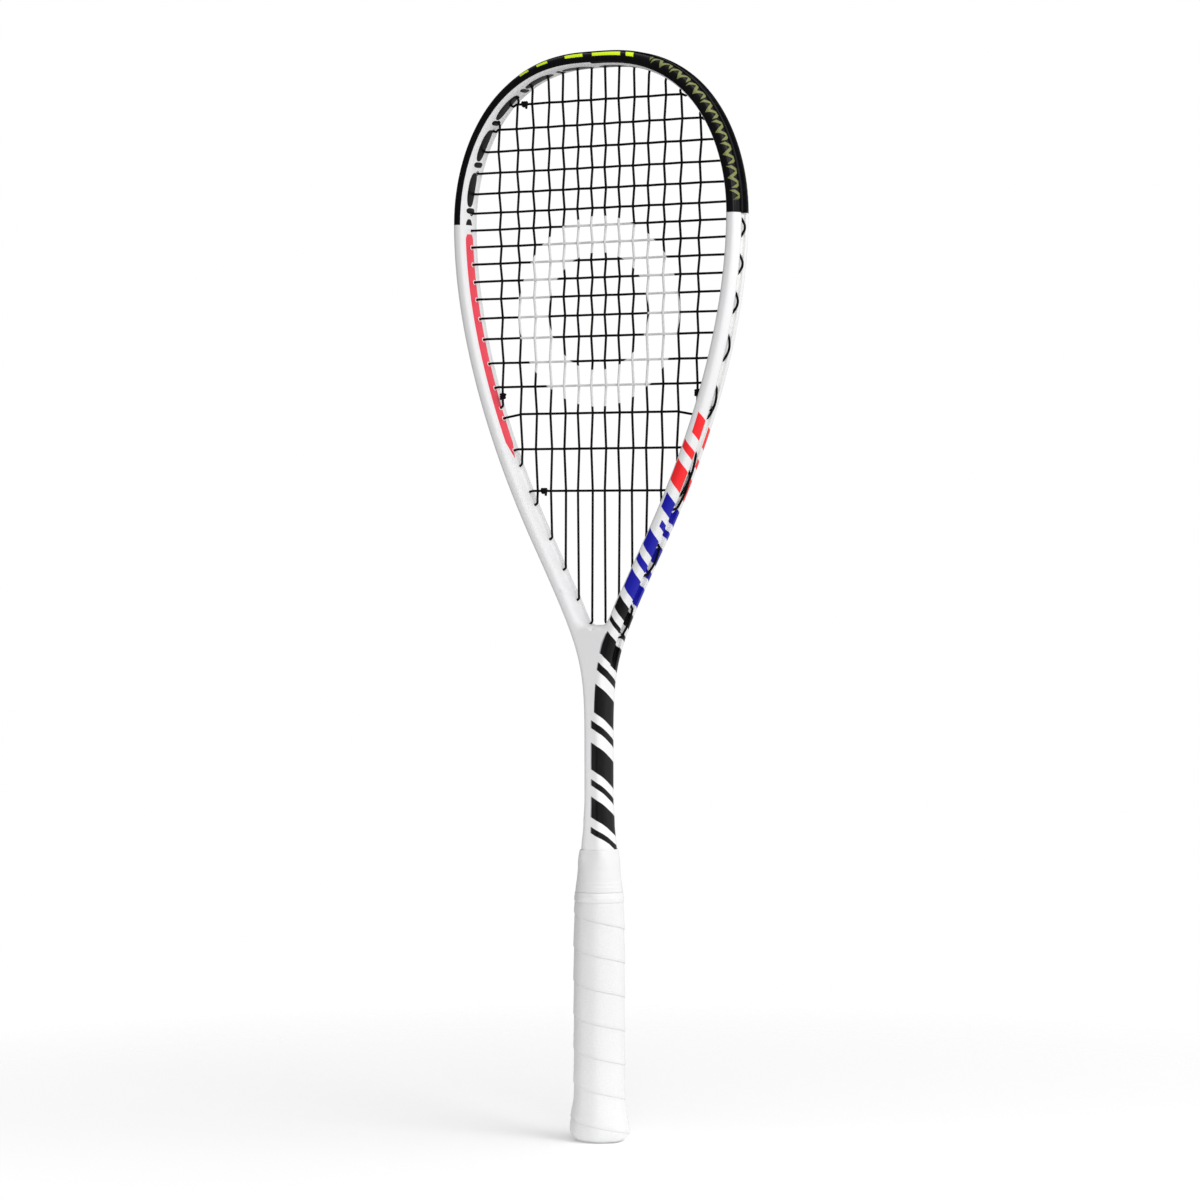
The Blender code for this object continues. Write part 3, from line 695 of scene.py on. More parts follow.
def strip_section(bumper):
    """Channel that carries the string loops, with eased corners, as (out, back) points."""
    low, floor = STRIP_A
    edge, rail = STRIP_HALF, STRIP_HALF - STRIP_RAIL
    if bumper:
        under, top, lip = BUMPER_LIP
        half = [(floor, 0.0), (floor, rail - 0.35), (floor + 0.1, rail - 0.1), (floor + 0.35, rail),
                (top - 0.3, rail), (top - 0.08, rail + 0.12), (top, rail + 0.4), (top, 3.4),
                (top - 0.05, lip - 0.3), (top - 0.2, lip - 0.05), (top - 0.4, lip),
                (under - 0.1, lip), (under - 0.16, lip - 0.1), (under, edge + 0.3), (under, edge),
                (low, edge), (low, 0.0)]
    else:
        half = [(floor, 0.0), (floor, rail - 0.3), (floor + 0.1, rail - 0.1), (floor + 0.3, rail),
                (SIDE_RAIL_A - 0.12, rail), (SIDE_RAIL_A, rail + 0.12),
                (SIDE_RAIL_A, edge - 0.12), (SIDE_RAIL_A - 0.12, edge), (low, edge), (low, 0.0)]
    return half + [(a, -b) for a, b in reversed(half[1:-1])]


def add_barrel(bm, hole, side):
    """Hollow barrel through the tube's wall with a rounded tip and a funnel at the groove."""
    start, end = flip((hole.inside(BARREL_PROUD), hole.along(STRIP_A[1])), side)
    bead = BARREL_R + 0.12
    profile = ((0, 0.12, BORE_R), (0, 0.0, BORE_R + 0.12), (0, 0.0, BARREL_R - 0.15),
               (0, 0.15, bead), (0, 0.55, bead), (0, 0.75, BARREL_R), (1, -0.5, BARREL_R),
               (1, 0.0, BARREL_R + 0.3), (1, 0.14, BARREL_R + 0.15), (1, 0.14, BARREL_R - 0.1),
               (1, -0.4, BORE_R))
    add_turned(bm, start, end, profile)


def make_strip(name, node, slot, mat, low, high, holes, bumper=False, side=1):
    """Strip of grommets along the groove; the bumper runs over the tip to both sides."""
    stops = list(np.linspace(low, high, int((high - low) / STRIP_PITCH)))
    section = strip_section(bumper)
    if bumper:
        stops = [-s for s in reversed(stops[1:])] + stops
    rings = []
    for s in stops:
        ring = flip([offset(abs(s), a, b) for a, b in section], -1 if s < 0 else 1)
        rings.append(flip(ring, side))
    around = [i / len(section) for i in range(len(section) + 1)]
    bm = sweep(rings, [s / 100 for s in stops], around)
    for hole in holes:
        for sign in ((1, -1) if bumper else (side,)):
            add_barrel(bm, hole, sign)
    return piece(name, bm, mat, slot, node, sharp=40)


def make_ferrule(name, node, mat, hole, side):
    """Single throat grommet: barrel with a domed round flange on the groove's floor."""
    bm = bmesh.new()
    low, normal = hole.along(STRIP_A[0]), at(hole.s)[1]
    ends = flip((low, low + normal * (STRIP_A[1] - STRIP_A[0])), side)
    thick = STRIP_A[1] - STRIP_A[0]
    add_turned(bm, *ends, ((0, 0, BORE_R + 0.1), (0, 0, EYELET_R), (0, thick * 0.6, EYELET_R),
                           (1, -0.05, EYELET_R - 0.25), (1, 0.08, BARREL_R + 0.2),
                           (1, 0.0, BORE_R + 0.1)), sides=28)
    add_barrel(bm, hole, side)
    return piece(name, bm, mat, "grommet_white", node, sharp=40)


def bumper_nylon():
    finish = Finish("bumper_nylon", 0.42, specular=0.05)
    grain, scuff = finish.noise(0.45, 2.0), finish.noise(5.0, 5.0, stretch=(4, 1, 1))
    worn = scuff.above(0.62, 0.06) * 0.5
    finish.colour((0.005, 0.005, 0.006), (grain.above(0.5, 0.4) * 0.4, (0.012, 0.012, 0.013)),
                  (worn, (0.022, 0.022, 0.024)))
    finish.rough(grain * 0.2 + worn * 0.3 + 0.3)
    finish.bump(grain, 0.03).bump(scuff, 0.05)
    return finish.mat


def grommet_nylon():
    finish = Finish("grommet_nylon", 0.4, subsurface=0.15)
    grain, cloud = finish.noise(0.5, 2.0), finish.noise(14.0, 3.0)
    finish.colour((0.83, 0.83, 0.82), (cloud.above(0.5, 0.3) * 0.5, (0.72, 0.72, 0.705)),
                  (grain.above(0.62, 0.1) * 0.25, (0.62, 0.61, 0.6)))
    finish.rough(grain * 0.15 + 0.33).bump(grain, 0.025).bump(cloud, 0.1)
    return finish.mat


def make_grommets():
    black, white = bumper_nylon(), grommet_nylon()
    top, end = s_at_height(SIDE_TOP_Z), s_at_height(SIDE_END_Z)
    make_strip("bumper_moulding", "bumper_guard", "bumper_black", black, 0.0, top - BUMPER_GAP,
               [h for h in HOLES if h.s < top - BUMPER_GAP / 2], bumper=True)
    sides = [h for h in HOLES if top - BUMPER_GAP / 2 < h.s < end]
    for label, side in (("left", -1), ("right", 1)):
        make_strip("side_moulding_" + label, "side_grommet_strip_" + label, "grommet_white",
                   white, top, end, sides, side=side)
        for i, hole in enumerate(h for h in HOLES if h.s > end):
            make_ferrule(f"throat_ferrule_{label}_{i + 1}", f"throat_grommet_{label}_{i + 1}",
                         white, hole, side)


# ---- strings --------------------------------------------------------------------------
MAINS = 2 * len(MAIN_X)


def turn_in(hole, side):
    """String from the bed into a barrel and out to the groove, ready to run along it."""
    return flip([hole.mouth, hole.along(-1.0), hole.along(LOOP_A - 1.1)], side)


def groove_run(s_from, s_to, side, b, bulge=0.0):
    """String lying in the groove between two arc lengths, b behind its middle."""
    low, high = sorted((s_from, s_to))
    room = max(0.0, high - low - 2 * TURN)
    count = max(1, round(room / 3))
    points = [offset(low + TURN + room * i / count,
                     LOOP_A + bulge * math.sin(math.pi * i / count), b)
              for i in range(count + 1)]
    if s_to < s_from:
        points.reverse()
    return flip(points, side)


def outer_s(hole):
    """Arc length at which a hole's axis reaches the string loops."""
    point, normal = at(hole.s)
    ahead = Vector((normal.z, 0, -normal.x)).normalized()
    return hole.s + (hole.along(LOOP_A) - point).dot(ahead) * 0.96


def loop(first, second, side, b, bulge=0.0):
    """Out through one hole, along the groove and back in through the next."""
    return (turn_in(first, side) + groove_run(outer_s(first), outer_s(second), side, b, bulge)
            + turn_in(second, side)[::-1])


def tail(hole, side, way, b):
    s = outer_s(hole)
    return turn_in(hole, side) + groove_run(s, s + way * (TAIL + 1.7), side, b)


def main_place(i):
    """Side and index of main i (0 is leftmost)."""
    return (-1, 6 - i) if i < 7 else (1, i - 7)


def main_row(i):
    """Crossing points of main i, bottom to top."""
    side, index = main_place(i)
    points = []
    for j in reversed(range(len(CROSS_Z))):
        z = CROSS_Z[j]
        if z < BY_NAME[("foot", index)].mouth.z + PAST:
            continue
        if z > BY_NAME[("head", index)].mouth.z - PAST:
            continue
        points.append(Vector((side * main_x(index, z), WEAVE if (i + j) % 2 else -WEAVE, z)))
    return points


def cross_row(j):
    """Crossing points of cross j, left to right."""
    z = CROSS_Z[j]
    points = []
    for i in range(MAINS):
        side, index = main_place(i)
        if any(abs(p.z - z) < 0.01 for p in main_row(i)):
            y = -WEAVE if (i + j) % 2 else WEAVE
            points.append(Vector((side * main_x(index, z), y, z)))
    return points


def main_path():
    first = BY_NAME[("foot", 6)]
    path = tail(first, -1, -1, LOOP_B)[::-1]
    for i in range(MAINS):
        up = i % 2 == 0
        path += main_row(i) if up else main_row(i)[::-1]
        if i == MAINS - 1:
            break
        here, there = (6 - i, 5 - i) if i < 6 else (i - 7, i - 6)
        if i == 6:
            middle = BY_NAME[("head", 0)]
            path += turn_in(middle, -1) + groove_run(outer_s(middle), TURN, -1, LOOP_B)
            path += groove_run(-TURN, outer_s(middle), 1, LOOP_B) + turn_in(middle, 1)[::-1]
        else:
            kind = "head" if up else "foot"
            path += loop(BY_NAME[(kind, here)], BY_NAME[(kind, there)], -1 if i < 7 else 1,
                         LOOP_B, 0.0 if up else FOOT_BULGE)
    return path + tail(first, 1, -1, LOOP_B)


def cross_path():
    path = tail(BY_NAME[("side", 0)], -1, 1, -LOOP_B)[::-1]
    for j in range(len(CROSS_Z)):
        rightward = j % 2 == 0
        path += cross_row(j) if rightward else cross_row(j)[::-1]
        if j < len(CROSS_Z) - 1:
            lie = SIDE_LOOP if CROSS_Z[j] < SIDE_TOP_Z else (-LOOP_B, 0.0)
            path += loop(BY_NAME[("side", j)], BY_NAME[("side", j + 1)], 1 if rightward else -1,
                         *lie)
    return path + tail(BY_NAME[("side", len(CROSS_Z) - 1)], -1, 1, -LOOP_B)


def kept_straight(path, hold=2.4):
    """The path with points added near the ends of its long runs, so that they stay straight."""
    points = []
    for a, b in zip(path, path[1:]):
        points.append(a)
        length = (b - a).length
        if length > 3 * hold:
            points += [a.lerp(b, hold / length), a.lerp(b, 1 - hold / length)]
    return points + [path[-1]]


def rounded(path, step=1.6):
    """Points every step or so on a smooth curve through the path (centripetal spline)."""
    path = kept_straight(path)
    ends = [path[0] * 2 - path[1]] + path + [path[-1] * 2 - path[-2]]
    line = []
    for p0, p1, p2, p3 in zip(ends, ends[1:], ends[2:], ends[3:]):
        d1, d2, d3 = [max(1e-4, math.sqrt((b - a).length))
                      for a, b in ((p0, p1), (p1, p2), (p2, p3))]
        m1 = (p2 - p1) + ((p1 - p0) / d1 - (p2 - p0) / (d1 + d2)) * d2
        m2 = (p2 - p1) + ((p3 - p2) / d3 - (p3 - p1) / (d2 + d3)) * d2
        count = max(2, round((p2 - p1).length / step))
        for i in range(count):
            t = i / count
            line.append(p1 + m1 * t + ((p2 - p1) * 3 - m1 * 2 - m2) * t ** 2
                        + ((p1 - p2) * 2 + m1 + m2) * t ** 3)
    return line + [path[-1]]


def tube(bm, line, radius, sides=12):
    """Closed round tube along a line of points, turned as little as possible."""
    across = (line[1] - line[0]).orthogonal().normalized()
    rows = []
    for i, point in enumerate(line):
        ahead = (line[min(i + 1, len(line) - 1)] - line[max(i - 1, 0)]).normalized()
        across = (across - ahead * across.dot(ahead)).normalized()
        other = ahead.cross(across)
        rows.append(circle(bm, point, across, other, radius, sides))
    skin(bm, rows)
    bm.faces.new(rows[0])
    bm.faces.new(rows[-1])


INK_RING_Z, INK_RING_R = 523.0, (37.0, 60.0)    # middle, and inner and outer radius
WRAP_PITCH = 0.62


def string_nylon(name, ridge_axis):
    """Black string with a wound wrap and a plain ring of pale ink on its bed."""
    finish = Finish(name, 0.35, specular=0.05)
    x, y, z = finish.xyz()
    radius = (x * x + (z - INK_RING_Z) * (z - INK_RING_Z)).math("SQRT")
    ring = radius.within(*INK_RING_R, 0.25)
    ragged = finish.noise(0.7, 3.0)
    ink = ring * ragged.above(0.22, 0.08) * 0.97
    along, over = (z, x) if ridge_axis == "z" else (x, z)
    wrap = ((along + (over + y) * 0.6) * (2 * math.pi / WRAP_PITCH)).math("SINE") * 0.5 + 0.5
    finish.colour(INK, (wrap * 0.3, (0.010, 0.010, 0.011)), (ink, (0.74, 0.74, 0.74)))
    finish.rough(ragged * 0.2 + ink * 0.25 + 0.26)
    finish.bump(wrap, 0.035).bump(ragged, 0.02)
    return finish.mat


def make_tie_off(name, node, mat, a, b):
    """Two turns of string wound round another, with a short cut end."""
    middle, heading = (a + b) / 2, (b - a).normalized()
    across = heading.cross(Vector((0, 1, 0))).normalized()
    other = heading.cross(across)
    turns, rise, radius, steps = 2.3, 1.35, 1.32, 56
    line = []
    for i in range(steps + 1):
        t = i / steps
        angle = 2 * math.pi * turns * t
        line.append(middle + heading * (t - 0.5) * turns * rise
                    + (across * math.cos(angle) + other * math.sin(angle)) * radius)
    away = (line[-1] - line[-2]).normalized()
    line += [line[-1] + away * k - heading * 0.12 * k * k for k in (0.6, 1.2, 1.9, 2.6)]
    bm = bmesh.new()
    tube(bm, line, STRING_R)
    tube(bm, [middle + heading * k + across * 0.5 * radius for k in (-1.4, -0.5, 0.5, 1.4)], 0.5)
    return piece(name, bm, mat, "string_black", node, sharp=50)


def make_strings():
    mains, crosses = string_nylon("mains_nylon", "z"), string_nylon("crosses_nylon", "x")
    for name, node, path, mat in (("mains", "main_string", main_path(), mains),
                                  ("crosses", "cross_string", cross_path(), crosses)):
        bm = bmesh.new()
        tube(bm, rounded(path), STRING_R)
        piece(name, bm, mat, "string_black", node, sharp=50)
    foot = BY_NAME[("foot", 6)].mouth
    make_tie_off("tie_off_main_left", "main_knot_left", mains, *flip([foot], -1), main_row(0)[0])
    make_tie_off("tie_off_main_right", "main_knot_right", mains, foot, main_row(MAINS - 1)[0])
    make_tie_off("tie_off_cross_upper", "cross_knot_upper", crosses, *cross_row(0)[:2])
    make_tie_off("tie_off_cross_lower", "cross_knot_lower", crosses,
                 *cross_row(len(CROSS_Z) - 1)[:2])


# ---- handle ---------------------------------------------------------------------------
def eased(z, knots):
    """Radius at height z on a smooth curve through (z, radius) knots."""
    zs, rs = [k[0] for k in knots], [k[1] for k in knots]
    i = min(max(bisect.bisect_right(zs, z) - 1, 0), len(zs) - 2)
    slopes = [(rs[k + 1] - rs[k]) / (zs[k + 1] - zs[k]) for k in range(len(zs) - 1)]

    def tangent(k):
        if k == 0 or k == len(zs) - 1:
            return slopes[min(k, len(slopes) - 1)]
        low, high = slopes[k - 1], slopes[k]
        return 0.0 if low * high <= 0 else 2 * low * high / (low + high)

    width = zs[i + 1] - zs[i]
    t = min(1.0, max(0.0, (z - zs[i]) / width))
    return (rs[i] * (2 * t ** 3 - 3 * t ** 2 + 1) + rs[i + 1] * (3 * t ** 2 - 2 * t ** 3)
            + width * (tangent(i) * (t ** 3 - 2 * t ** 2 + t) + tangent(i + 1) * (t ** 3 - t ** 2)))


def facet(angle):
    """Slight octagon of the pallet that shows through the tape."""
    return 1.0 - 0.009 * math.cos(8 * angle)


LAP = ((0.0, 0.35), (0.004, 0.72), (0.014, 0.93), (0.035, 1.0), (0.08, 0.97), (0.16, 0.86),
       (0.3, 0.66), (0.45, 0.47), (0.6, 0.31), (0.75, 0.17), (0.88, 0.07), (0.96, 0.0),
       (0.99, -0.08), (1.0, -0.12))     # share of a turn's rise above its edge, share of the step


def make_grip(mat):
    """Tape wound in a helix: every turn's lower edge lies over the turn below it."""
    sides, low, high = 128, TAPE_OUTER[0][0], TAPE_OUTER[-1][0]
    turns = math.ceil((high - low) / TAPE_PITCH) + 2
    rows, levels = [], []
    for turn in range(-2, turns):
        for share, step in LAP[:-1] if turn < turns - 1 else LAP:
            base = low + TAPE_START + (turn + share) * TAPE_PITCH
            ring = []
            for j in range(sides):
                angle = -2 * math.pi * j / sides
                z = min(high, max(low, base + TAPE_PITCH * j / sides))
                fade = min(1.0, (z - low) / 2.0, (high - z) / 1.2 + 0.25)
                radius = eased(z, TAPE_OUTER) - TAPE_SUNK + step * TAPE_STEP * max(0.0, fade)
                radius *= facet(angle)
                ring.append((radius * math.cos(angle), radius * math.sin(angle) * OVAL, z))
            rows.append(ring)
            levels.append(base / 100)
    around = [j / sides for j in range(sides + 1)]
    bm = sweep(rows, levels, around, cap_first=False, cap_last=False, shift=len(LAP) - 1)
    bmesh.ops.remove_doubles(bm, verts=bm.verts, dist=1.5e-5)
    bmesh.ops.dissolve_degenerate(bm, edges=bm.edges, dist=1e-6)
    close_inside(bm, low, high)
    return piece("wrapped_grip", bm, mat, "grip_white", "grip_tape", sharp=48)


def turned_inward(bm, edges, radius, z=None):
    """New ring joined to edges, brought to a radius (and a height) of the oval handle."""
    made = bmesh.ops.extrude_edge_only(bm, edges=edges)["geom"]
    verts = [g for g in made if isinstance(g, bmesh.types.BMVert)]
    for vert in verts:
        scale = radius * MM / math.hypot(vert.co.x, vert.co.y / OVAL)
        vert.co.x *= scale
        vert.co.y *= scale
        if z is not None:
            vert.co.z = z * MM
    return verts, [g for g in made if isinstance(g, bmesh.types.BMEdge)]


def zip_rings(bm, lower, upper):
    """Triangles between two rings whose counts may differ, paired by angle."""
    def sweep_of(ring):
        rows = sorted((math.atan2(v.co.y, v.co.x), i) for i, v in enumerate(ring))
        return [a for a, _ in rows], [ring[i] for _, i in rows]

    (low_at, low), (up_at, up) = sweep_of(lower), sweep_of(upper)
    i = j = 0
    while i < len(low) or j < len(up):
        next_low = low_at[i + 1] if i + 1 < len(low) else low_at[0] + 2 * math.pi
        next_up = up_at[j + 1] if j + 1 < len(up) else up_at[0] + 2 * math.pi
        here, there = low[i % len(low)], up[j % len(up)]
        if j >= len(up) or (i < len(low) and next_low <= next_up):
            bm.faces.new((here, low[(i + 1) % len(low)], there))
            i += 1
        else:
            bm.faces.new((here, up[(j + 1) % len(up)], there))
            j += 1


def in_fixed_order(bm):
    """Store the mesh in an order that is the same in every run."""
    def settle(elements, place):
        ranks = {e: i for i, e in enumerate(sorted(elements, key=place))}
        elements.sort(key=ranks.get)
        elements.index_update()

    settle(bm.verts, lambda vert: tuple(vert.co))
    for elements in (bm.edges, bm.faces):
        settle(elements, lambda element: sorted(v.index for v in element.verts))


def close_inside(bm, low, high):
    """Inner wall of the tape along its own profile, in place of what folds up at each end."""
    def at_level(element, level):
        return all(abs(v.co.z - level * MM) < 2e-5 for v in element.verts)

    folded = [f for f in bm.faces if at_level(f, low) or at_level(f, high)]
    bmesh.ops.delete(bm, geom=folded, context="FACES")
    foot, head = [[e for e in bm.edges if e.is_boundary and at_level(e, level)]
                  for level in (low, high)]
    lower, edges = turned_inward(bm, foot, TAPE_INNER[0][1])
    for z, radius in TAPE_INNER[1:-1]:
        lower, edges = turned_inward(bm, edges, radius, z)
    upper, _ = turned_inward(bm, head, TAPE_INNER[-1][1])
    bmesh.ops.remove_doubles(bm, verts=lower, dist=1e-5)
    bmesh.ops.remove_doubles(bm, verts=upper, dist=1e-5)
    zip_rings(bm, [v for v in lower if v.is_valid], [v for v in upper if v.is_valid])
    bmesh.ops.remove_doubles(bm, verts=bm.verts, dist=1e-6)
    bmesh.ops.dissolve_degenerate(bm, edges=bm.edges, dist=1e-6)
    bmesh.ops.recalc_face_normals(bm, faces=bm.faces)
    in_fixed_order(bm)


def grip_leather():
    finish = Finish("grip_leather", 0.55, sheen=0.15)
    grain, crease = finish.cells(0.75), finish.noise(6.0, 4.0, stretch=(3, 3, 1))
    u, _ = finish.paint_map()
    share = (u * 100.0 - TAPE_OUTER[0][0] - TAPE_START).cycle(TAPE_PITCH) / TAPE_PITCH
    # painted shade: a thin darker band along each turn's lapped edge and in the valley just under
    # it, where the upper turn lies over the lower
    lap_shade = share.below(0.02, 0.02) | share.above(0.985, 0.01)
    stitch = share.within(0.05, 0.065, 0.006)
    handled = finish.noise(30.0, 3.0).above(0.5, 0.25)
    finish.colour((0.80, 0.80, 0.80), (handled * 0.5, (0.745, 0.745, 0.75)),
                  (grain.above(0.55, 0.2) * 0.25, (0.66, 0.66, 0.67)),
                  (lap_shade * 0.35, (0.60, 0.60, 0.61)), (stitch * 0.2, (0.66, 0.66, 0.67)))
    finish.rough(grain * 0.15 + handled * 0.1 + 0.45)
    finish.bump(grain, 0.07).bump(crease, 0.28).bump(~stitch, 0.08)
    return finish.mat


AROUND = [i / SIDES for i in range(SIDES + 1)]


def superellipse(half_w, half_d, exponent):
    points = []
    for i in range(SIDES):
        angle = 2 * math.pi * i / SIDES
        c, s = math.cos(angle), math.sin(angle)
        size = (abs(c) ** exponent + abs(s) ** exponent) ** (-1 / exponent)
        points.append((half_w * c * size, half_d * s * size))
    return points


def closed_sleeve(name, node, mat, rings):
    """Piece of the handle skinned over rings that come back to the first one."""
    rings.append(rings[0])
    bm = sweep(rings, [ring[0][2] / 100 for ring in rings], AROUND,
               cap_first=False, cap_last=False)
    bmesh.ops.remove_doubles(bm, verts=bm.verts, dist=1e-6)
    return piece(name, bm, mat, "grip_white", node, sharp=40)


def make_band(mat):
    """Two flat turns of finishing tape, the upper one a little proud."""
    profile = ((151.05, 14.9), (151.05, 16.0), (151.3, 16.15), (151.9, 16.22), (154.2, 16.2),
               (154.45, 16.14), (154.55, 16.0), (154.7, 15.95), (156.3, 15.86), (156.8, 15.78),
               (157.15, 15.6), (157.15, 14.9))
    rings = [[(r * facet(a) * math.cos(a), r * facet(a) * math.sin(a) * OVAL, z)
              for a in (2 * math.pi * i / SIDES for i in range(SIDES))] for z, r in profile]
    return closed_sleeve("grip_band", "finishing_band", mat, rings)


def make_collar(mat):
    """Moulded boot that runs from the grip up to the shaft, with raised rings."""
    low, high = COLLAR[0][0], COLLAR[-1][0]
    heights = [low, low + 0.15, low + 0.5, *np.linspace(low + 1.1, high - 1.2, 50),
               high - 0.6, high - 0.2, high]
    rings = []
    for z in heights:
        w, d, n = [float(np.interp(z, [c[0] for c in COLLAR], [c[k] for c in COLLAR]))
                   for k in (1, 2, 3)]
        ease = (0.35 * max(0.0, 1 - (z - low) / 0.5) + 0.15 * max(0.0, 1 - (high - z) / 0.6))
        raised = sum(RING_RISE * math.exp(-((z - middle) / RING_WIDE) ** 2)
                     for middle in COLLAR_RINGS)
        outer = superellipse(w - ease + raised, d - ease + raised, n)
        rings.append([(x, y, z) for x, y in outer])
    for z, hole in zip((high, low), COLLAR_HOLES):
        rings.append([(x, y, z) for x, y in superellipse(*hole)])
    return closed_sleeve("collar_boot", "handle_collar", mat, rings)


def make_cap(mat):
    """Butt cap: flat foot with a shallow dish and a raised ring under the tape's edge."""
    profile = ((6.0, 0.0), (0.7, 0.0), (0.7, 6.0), (0.62, 6.5), (0.15, 7.0), (0.0, 7.3),
               (0.0, 10.4), (0.12, 10.6), (0.3, 10.75), (0.3, 11.2), (0.12, 11.35), (0.0, 11.5),
               (0.0, 13.9), (0.1, 14.35), (0.6, 15.3), (1.4, 15.8), (4.0, 17.0), (7.5, 17.5),
               (13.5, 16.9), (20.0, 15.9), (26.0, 14.8), (26.0, 12.8), (6.0, 12.8))
    bm = bmesh.new()
    rows = []
    for z, r in profile[1:] + profile[:1]:
        count = SIDES if r else 1
        rows.append([bm.verts.new((r * MM * math.cos(a), r * MM * OVAL * math.sin(a), z * MM))
                     for a in (2 * math.pi * i / SIDES for i in range(count))])
    for low, high in zip(rows, rows[1:]):
        for i in range(SIDES):
            j = (i + 1) % SIDES
            if len(low) == 1:
                bm.faces.new((low[0], high[j], high[i]))
            elif len(high) == 1:
                bm.faces.new((low[i], low[j], high[0]))
            else:
                bm.faces.new((low[i], low[j], high[j], high[i]))
    return piece("end_cap", bm, mat, "cap_plastic", "butt_cap", sharp=40)


def smooth_vinyl():
    finish = Finish("smooth_vinyl", 0.4)
    fine, crease = finish.noise(0.6, 2.0), finish.noise(5.0, 3.0, stretch=(1, 1, 0.3))
    finish.colour((0.81, 0.81, 0.815), (crease.above(0.55, 0.2) * 0.4, (0.72, 0.72, 0.73)))
    finish.rough(fine * 0.12 + 0.34).bump(fine, 0.02).bump(crease, 0.08)
    return finish.mat


def collar_rubber():
    finish = Finish("collar_rubber", 0.5, subsurface=0.05)
    fine, cloud = finish.noise(0.4, 2.0), finish.noise(9.0, 3.0)
    finish.colour((0.79, 0.79, 0.795), (cloud.above(0.5, 0.25) * 0.4, (0.715, 0.715, 0.72)))
    finish.rough(fine * 0.15 + 0.42).bump(fine, 0.03).bump(cloud, 0.06)
    return finish.mat


def cap_plastic():
    finish = Finish("cap_plastic_skin", 0.45)
    spark, scratch = finish.noise(0.3, 2.0), finish.noise(2.5, 4.0, stretch=(5, 1, 1))
    finish.colour((0.70, 0.70, 0.70), (scratch.above(0.6, 0.08) * 0.4, (0.58, 0.58, 0.58)))
    finish.rough(spark * 0.2 + 0.36).bump(spark, 0.03).bump(scratch, 0.03)
    return finish.mat


def pallet_foam():
    finish = Finish("pallet_foam", 0.9)
    cells, cloud = finish.cells(0.9), finish.noise(8.0, 3.0)
    finish.colour((0.50, 0.44, 0.34), (cells.above(0.5, 0.2) * 0.5, (0.36, 0.31, 0.23)),
                  (cloud.above(0.5, 0.2) * 0.3, (0.58, 0.52, 0.42)))
    finish.rough(cells * 0.1 + 0.82).bump(cells, 0.15)
    return finish.mat


def make_handle():
    make_grip(grip_leather())
    make_band(smooth_vinyl())
    make_collar(collar_rubber())
    make_cap(cap_plastic())
    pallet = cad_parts["handle_pallet"]
    foam = pallet_foam()
    for slot in pallet.material_slots:
        slot.material = foam


# ---- studio ---------------------------------------------------------------------------
VIEW_AZIMUTH = math.radians(32.0)
CAMERA_FAR, CAMERA_HIGH = 2.549, 0.391          # metres from the racket's axis and floor
AIM_HIGH, AIM_RIGHT = 0.3412, 0.0007            # where it looks, on and beside the axis
LENS, ROLL = 121.35, math.radians(-0.05)
LIT_AT = 0.35                                   # height that every light points at
# Each light's name; its direction towards the camera, to the right and up; distance, size, watts.
LIGHTS = (("key", (0.8, 0.9, 0.7), 2.2, 1.4, 17.0), ("fill", (1.0, 0.1, 0.3), 2.6, 1.2, 17.0),
          ("top", (0.3, 0.3, 1.0), 1.8, 1.2, 9.0), ("low", (0.5, -0.9, -0.45), 0.8, 0.3, 1.1))
DAYLIGHT, MORE_RIGHT, MORE_UP = 0.43, 0.34, 0.06
FLOOR_R, FLOOR_Z, FLOOR_FADE, FLOOR_GLOW = 1.2, -0.0005, (420.0, 300.0), 0.16
TO_CAMERA = Vector((math.sin(VIEW_AZIMUTH), -math.cos(VIEW_AZIMUTH), 0))
TO_RIGHT = Vector((math.cos(VIEW_AZIMUTH), math.sin(VIEW_AZIMUTH), 0))
UP = Vector((0, 0, 1))


def make_camera():
    data = bpy.data.cameras.new("camera")
    data.lens, data.sensor_width = LENS, 36.0
    obj = put("camera", data)
    obj.location = TO_CAMERA * CAMERA_FAR + UP * CAMERA_HIGH
    aim = UP * AIM_HIGH + TO_RIGHT * AIM_RIGHT - obj.location
    turn = aim.to_track_quat('-Z', 'Y').to_matrix().to_4x4()
    obj.matrix_world = (Matrix.Translation(obj.location) @ turn
                        @ Matrix.Rotation(ROLL, 4, 'Z'))
    bpy.context.scene.camera = obj


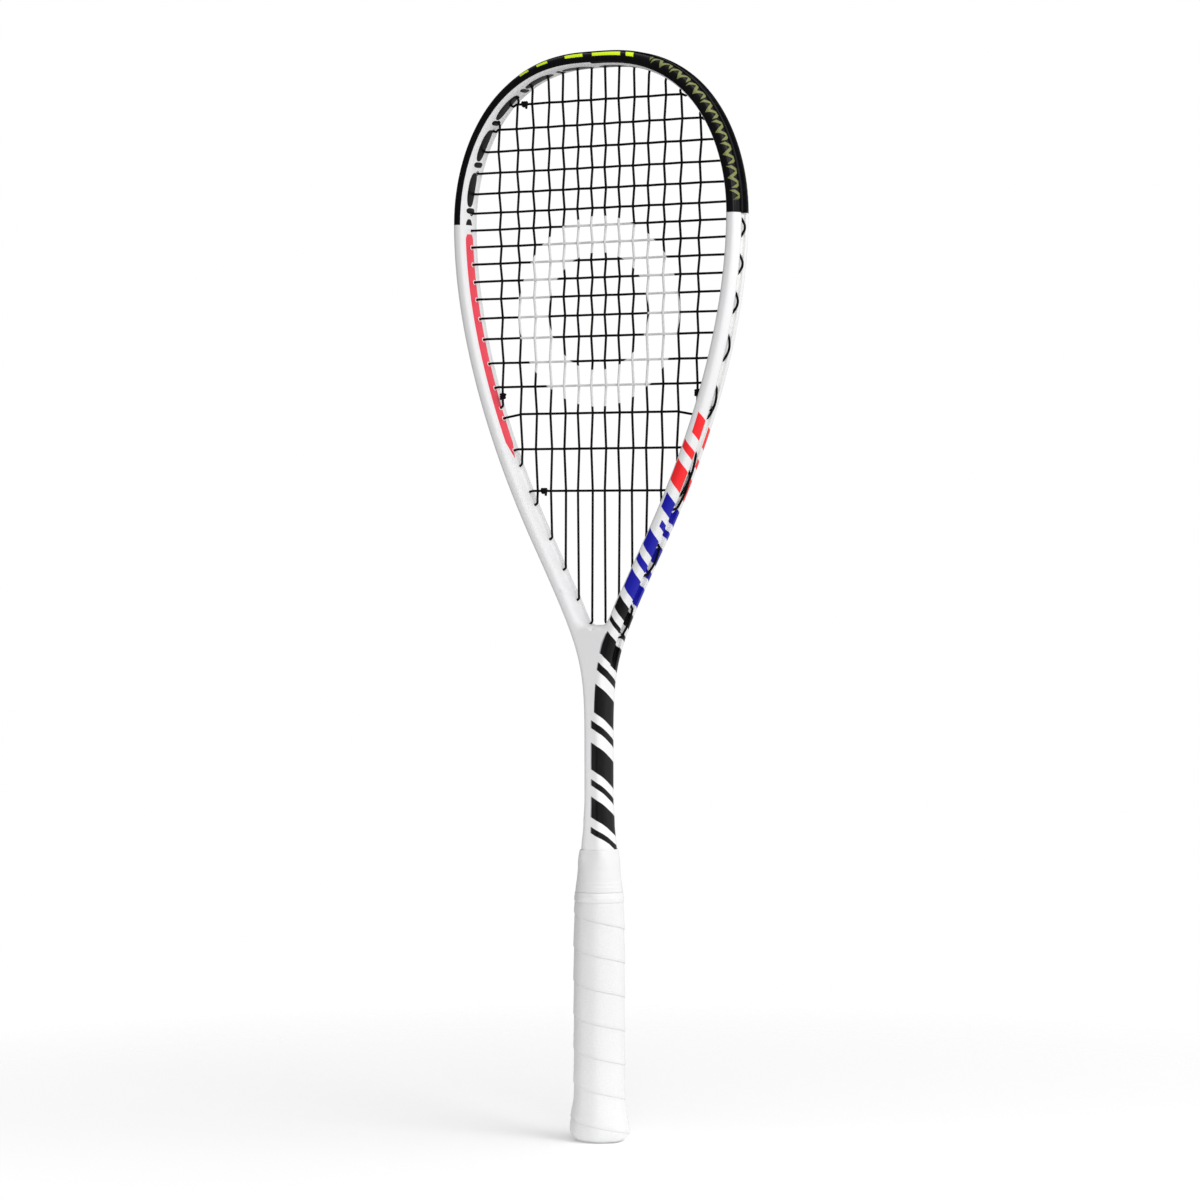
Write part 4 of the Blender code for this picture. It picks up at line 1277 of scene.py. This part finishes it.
def make_light(name, direction, distance, size, power):
    data = bpy.data.lights.new(name, 'AREA')
    data.shape, data.size, data.energy = 'DISK', size, power
    obj = put(name, data)
    middle = UP * LIT_AT
    near, right, up = direction
    way = (TO_CAMERA * near + TO_RIGHT * right + UP * up).normalized()
    obj.location = middle + way * distance
    obj.rotation_euler = (middle - obj.location).to_track_quat('-Z', 'Y').to_euler()


def make_world():
    """White backdrop for the camera; softer grey, brighter to the right, for the light."""
    world = bpy.data.worlds.new("studio")
    bpy.context.scene.world = world
    world.use_nodes = True
    tree = world.node_tree
    tree.nodes.clear()
    place = tree.nodes.new("ShaderNodeTexCoord").outputs["Generated"]
    node = tree.nodes.new("ShaderNodeSeparateXYZ")
    tree.links.new(place, node.inputs[0])
    x, y, z = [Field(tree, out) for out in node.outputs]
    to_right = x * TO_RIGHT.x + y * TO_RIGHT.y
    level = to_right * MORE_RIGHT + z * MORE_UP + DAYLIGHT
    camera_ray = Field(tree, tree.nodes.new("ShaderNodeLightPath").outputs["Is Camera Ray"])
    strength = camera_ray + ~camera_ray * level
    background = tree.nodes.new("ShaderNodeBackground")
    background.inputs["Color"].default_value = (1, 1, 1, 1)
    tree.links.new(strength.socket, background.inputs["Strength"])
    output = tree.nodes.new("ShaderNodeOutputWorld")
    tree.links.new(background.outputs[0], output.inputs["Surface"])


def make_floor():
    """Pale round floor that fades out into the backdrop."""
    bm = bmesh.new()
    bmesh.ops.create_circle(bm, cap_ends=True, segments=96, radius=FLOOR_R)
    mesh = bpy.data.meshes.new("floor")
    bm.to_mesh(mesh)
    bm.free()
    obj = put("floor", mesh)
    obj.location.z = FLOOR_Z
    finish = Finish("floor_card", 0.85)
    x, y, _ = finish.xyz()
    reach = (x * x + y * y).math("SQRT")
    finish.colour((0.93, 0.93, 0.93), (finish.noise(60.0, 2.0) * 0.15, (0.91, 0.91, 0.91)))
    fade = reach.below(*FLOOR_FADE)
    finish.link(fade.socket, finish.shader.inputs["Alpha"])
    finish.shader.inputs["Emission Color"].default_value = (1, 1, 1, 1)
    finish.shader.inputs["Emission Strength"].default_value = FLOOR_GLOW
    mesh.materials.append(finish.mat)


def make_studio():
    make_camera()
    make_world()
    make_floor()
    for light in LIGHTS:
        make_light(*light)
    bpy.context.scene.view_settings.view_transform = "Standard"


make_frame(frame_paint())
make_grommets()
make_strings()
make_handle()
make_studio()
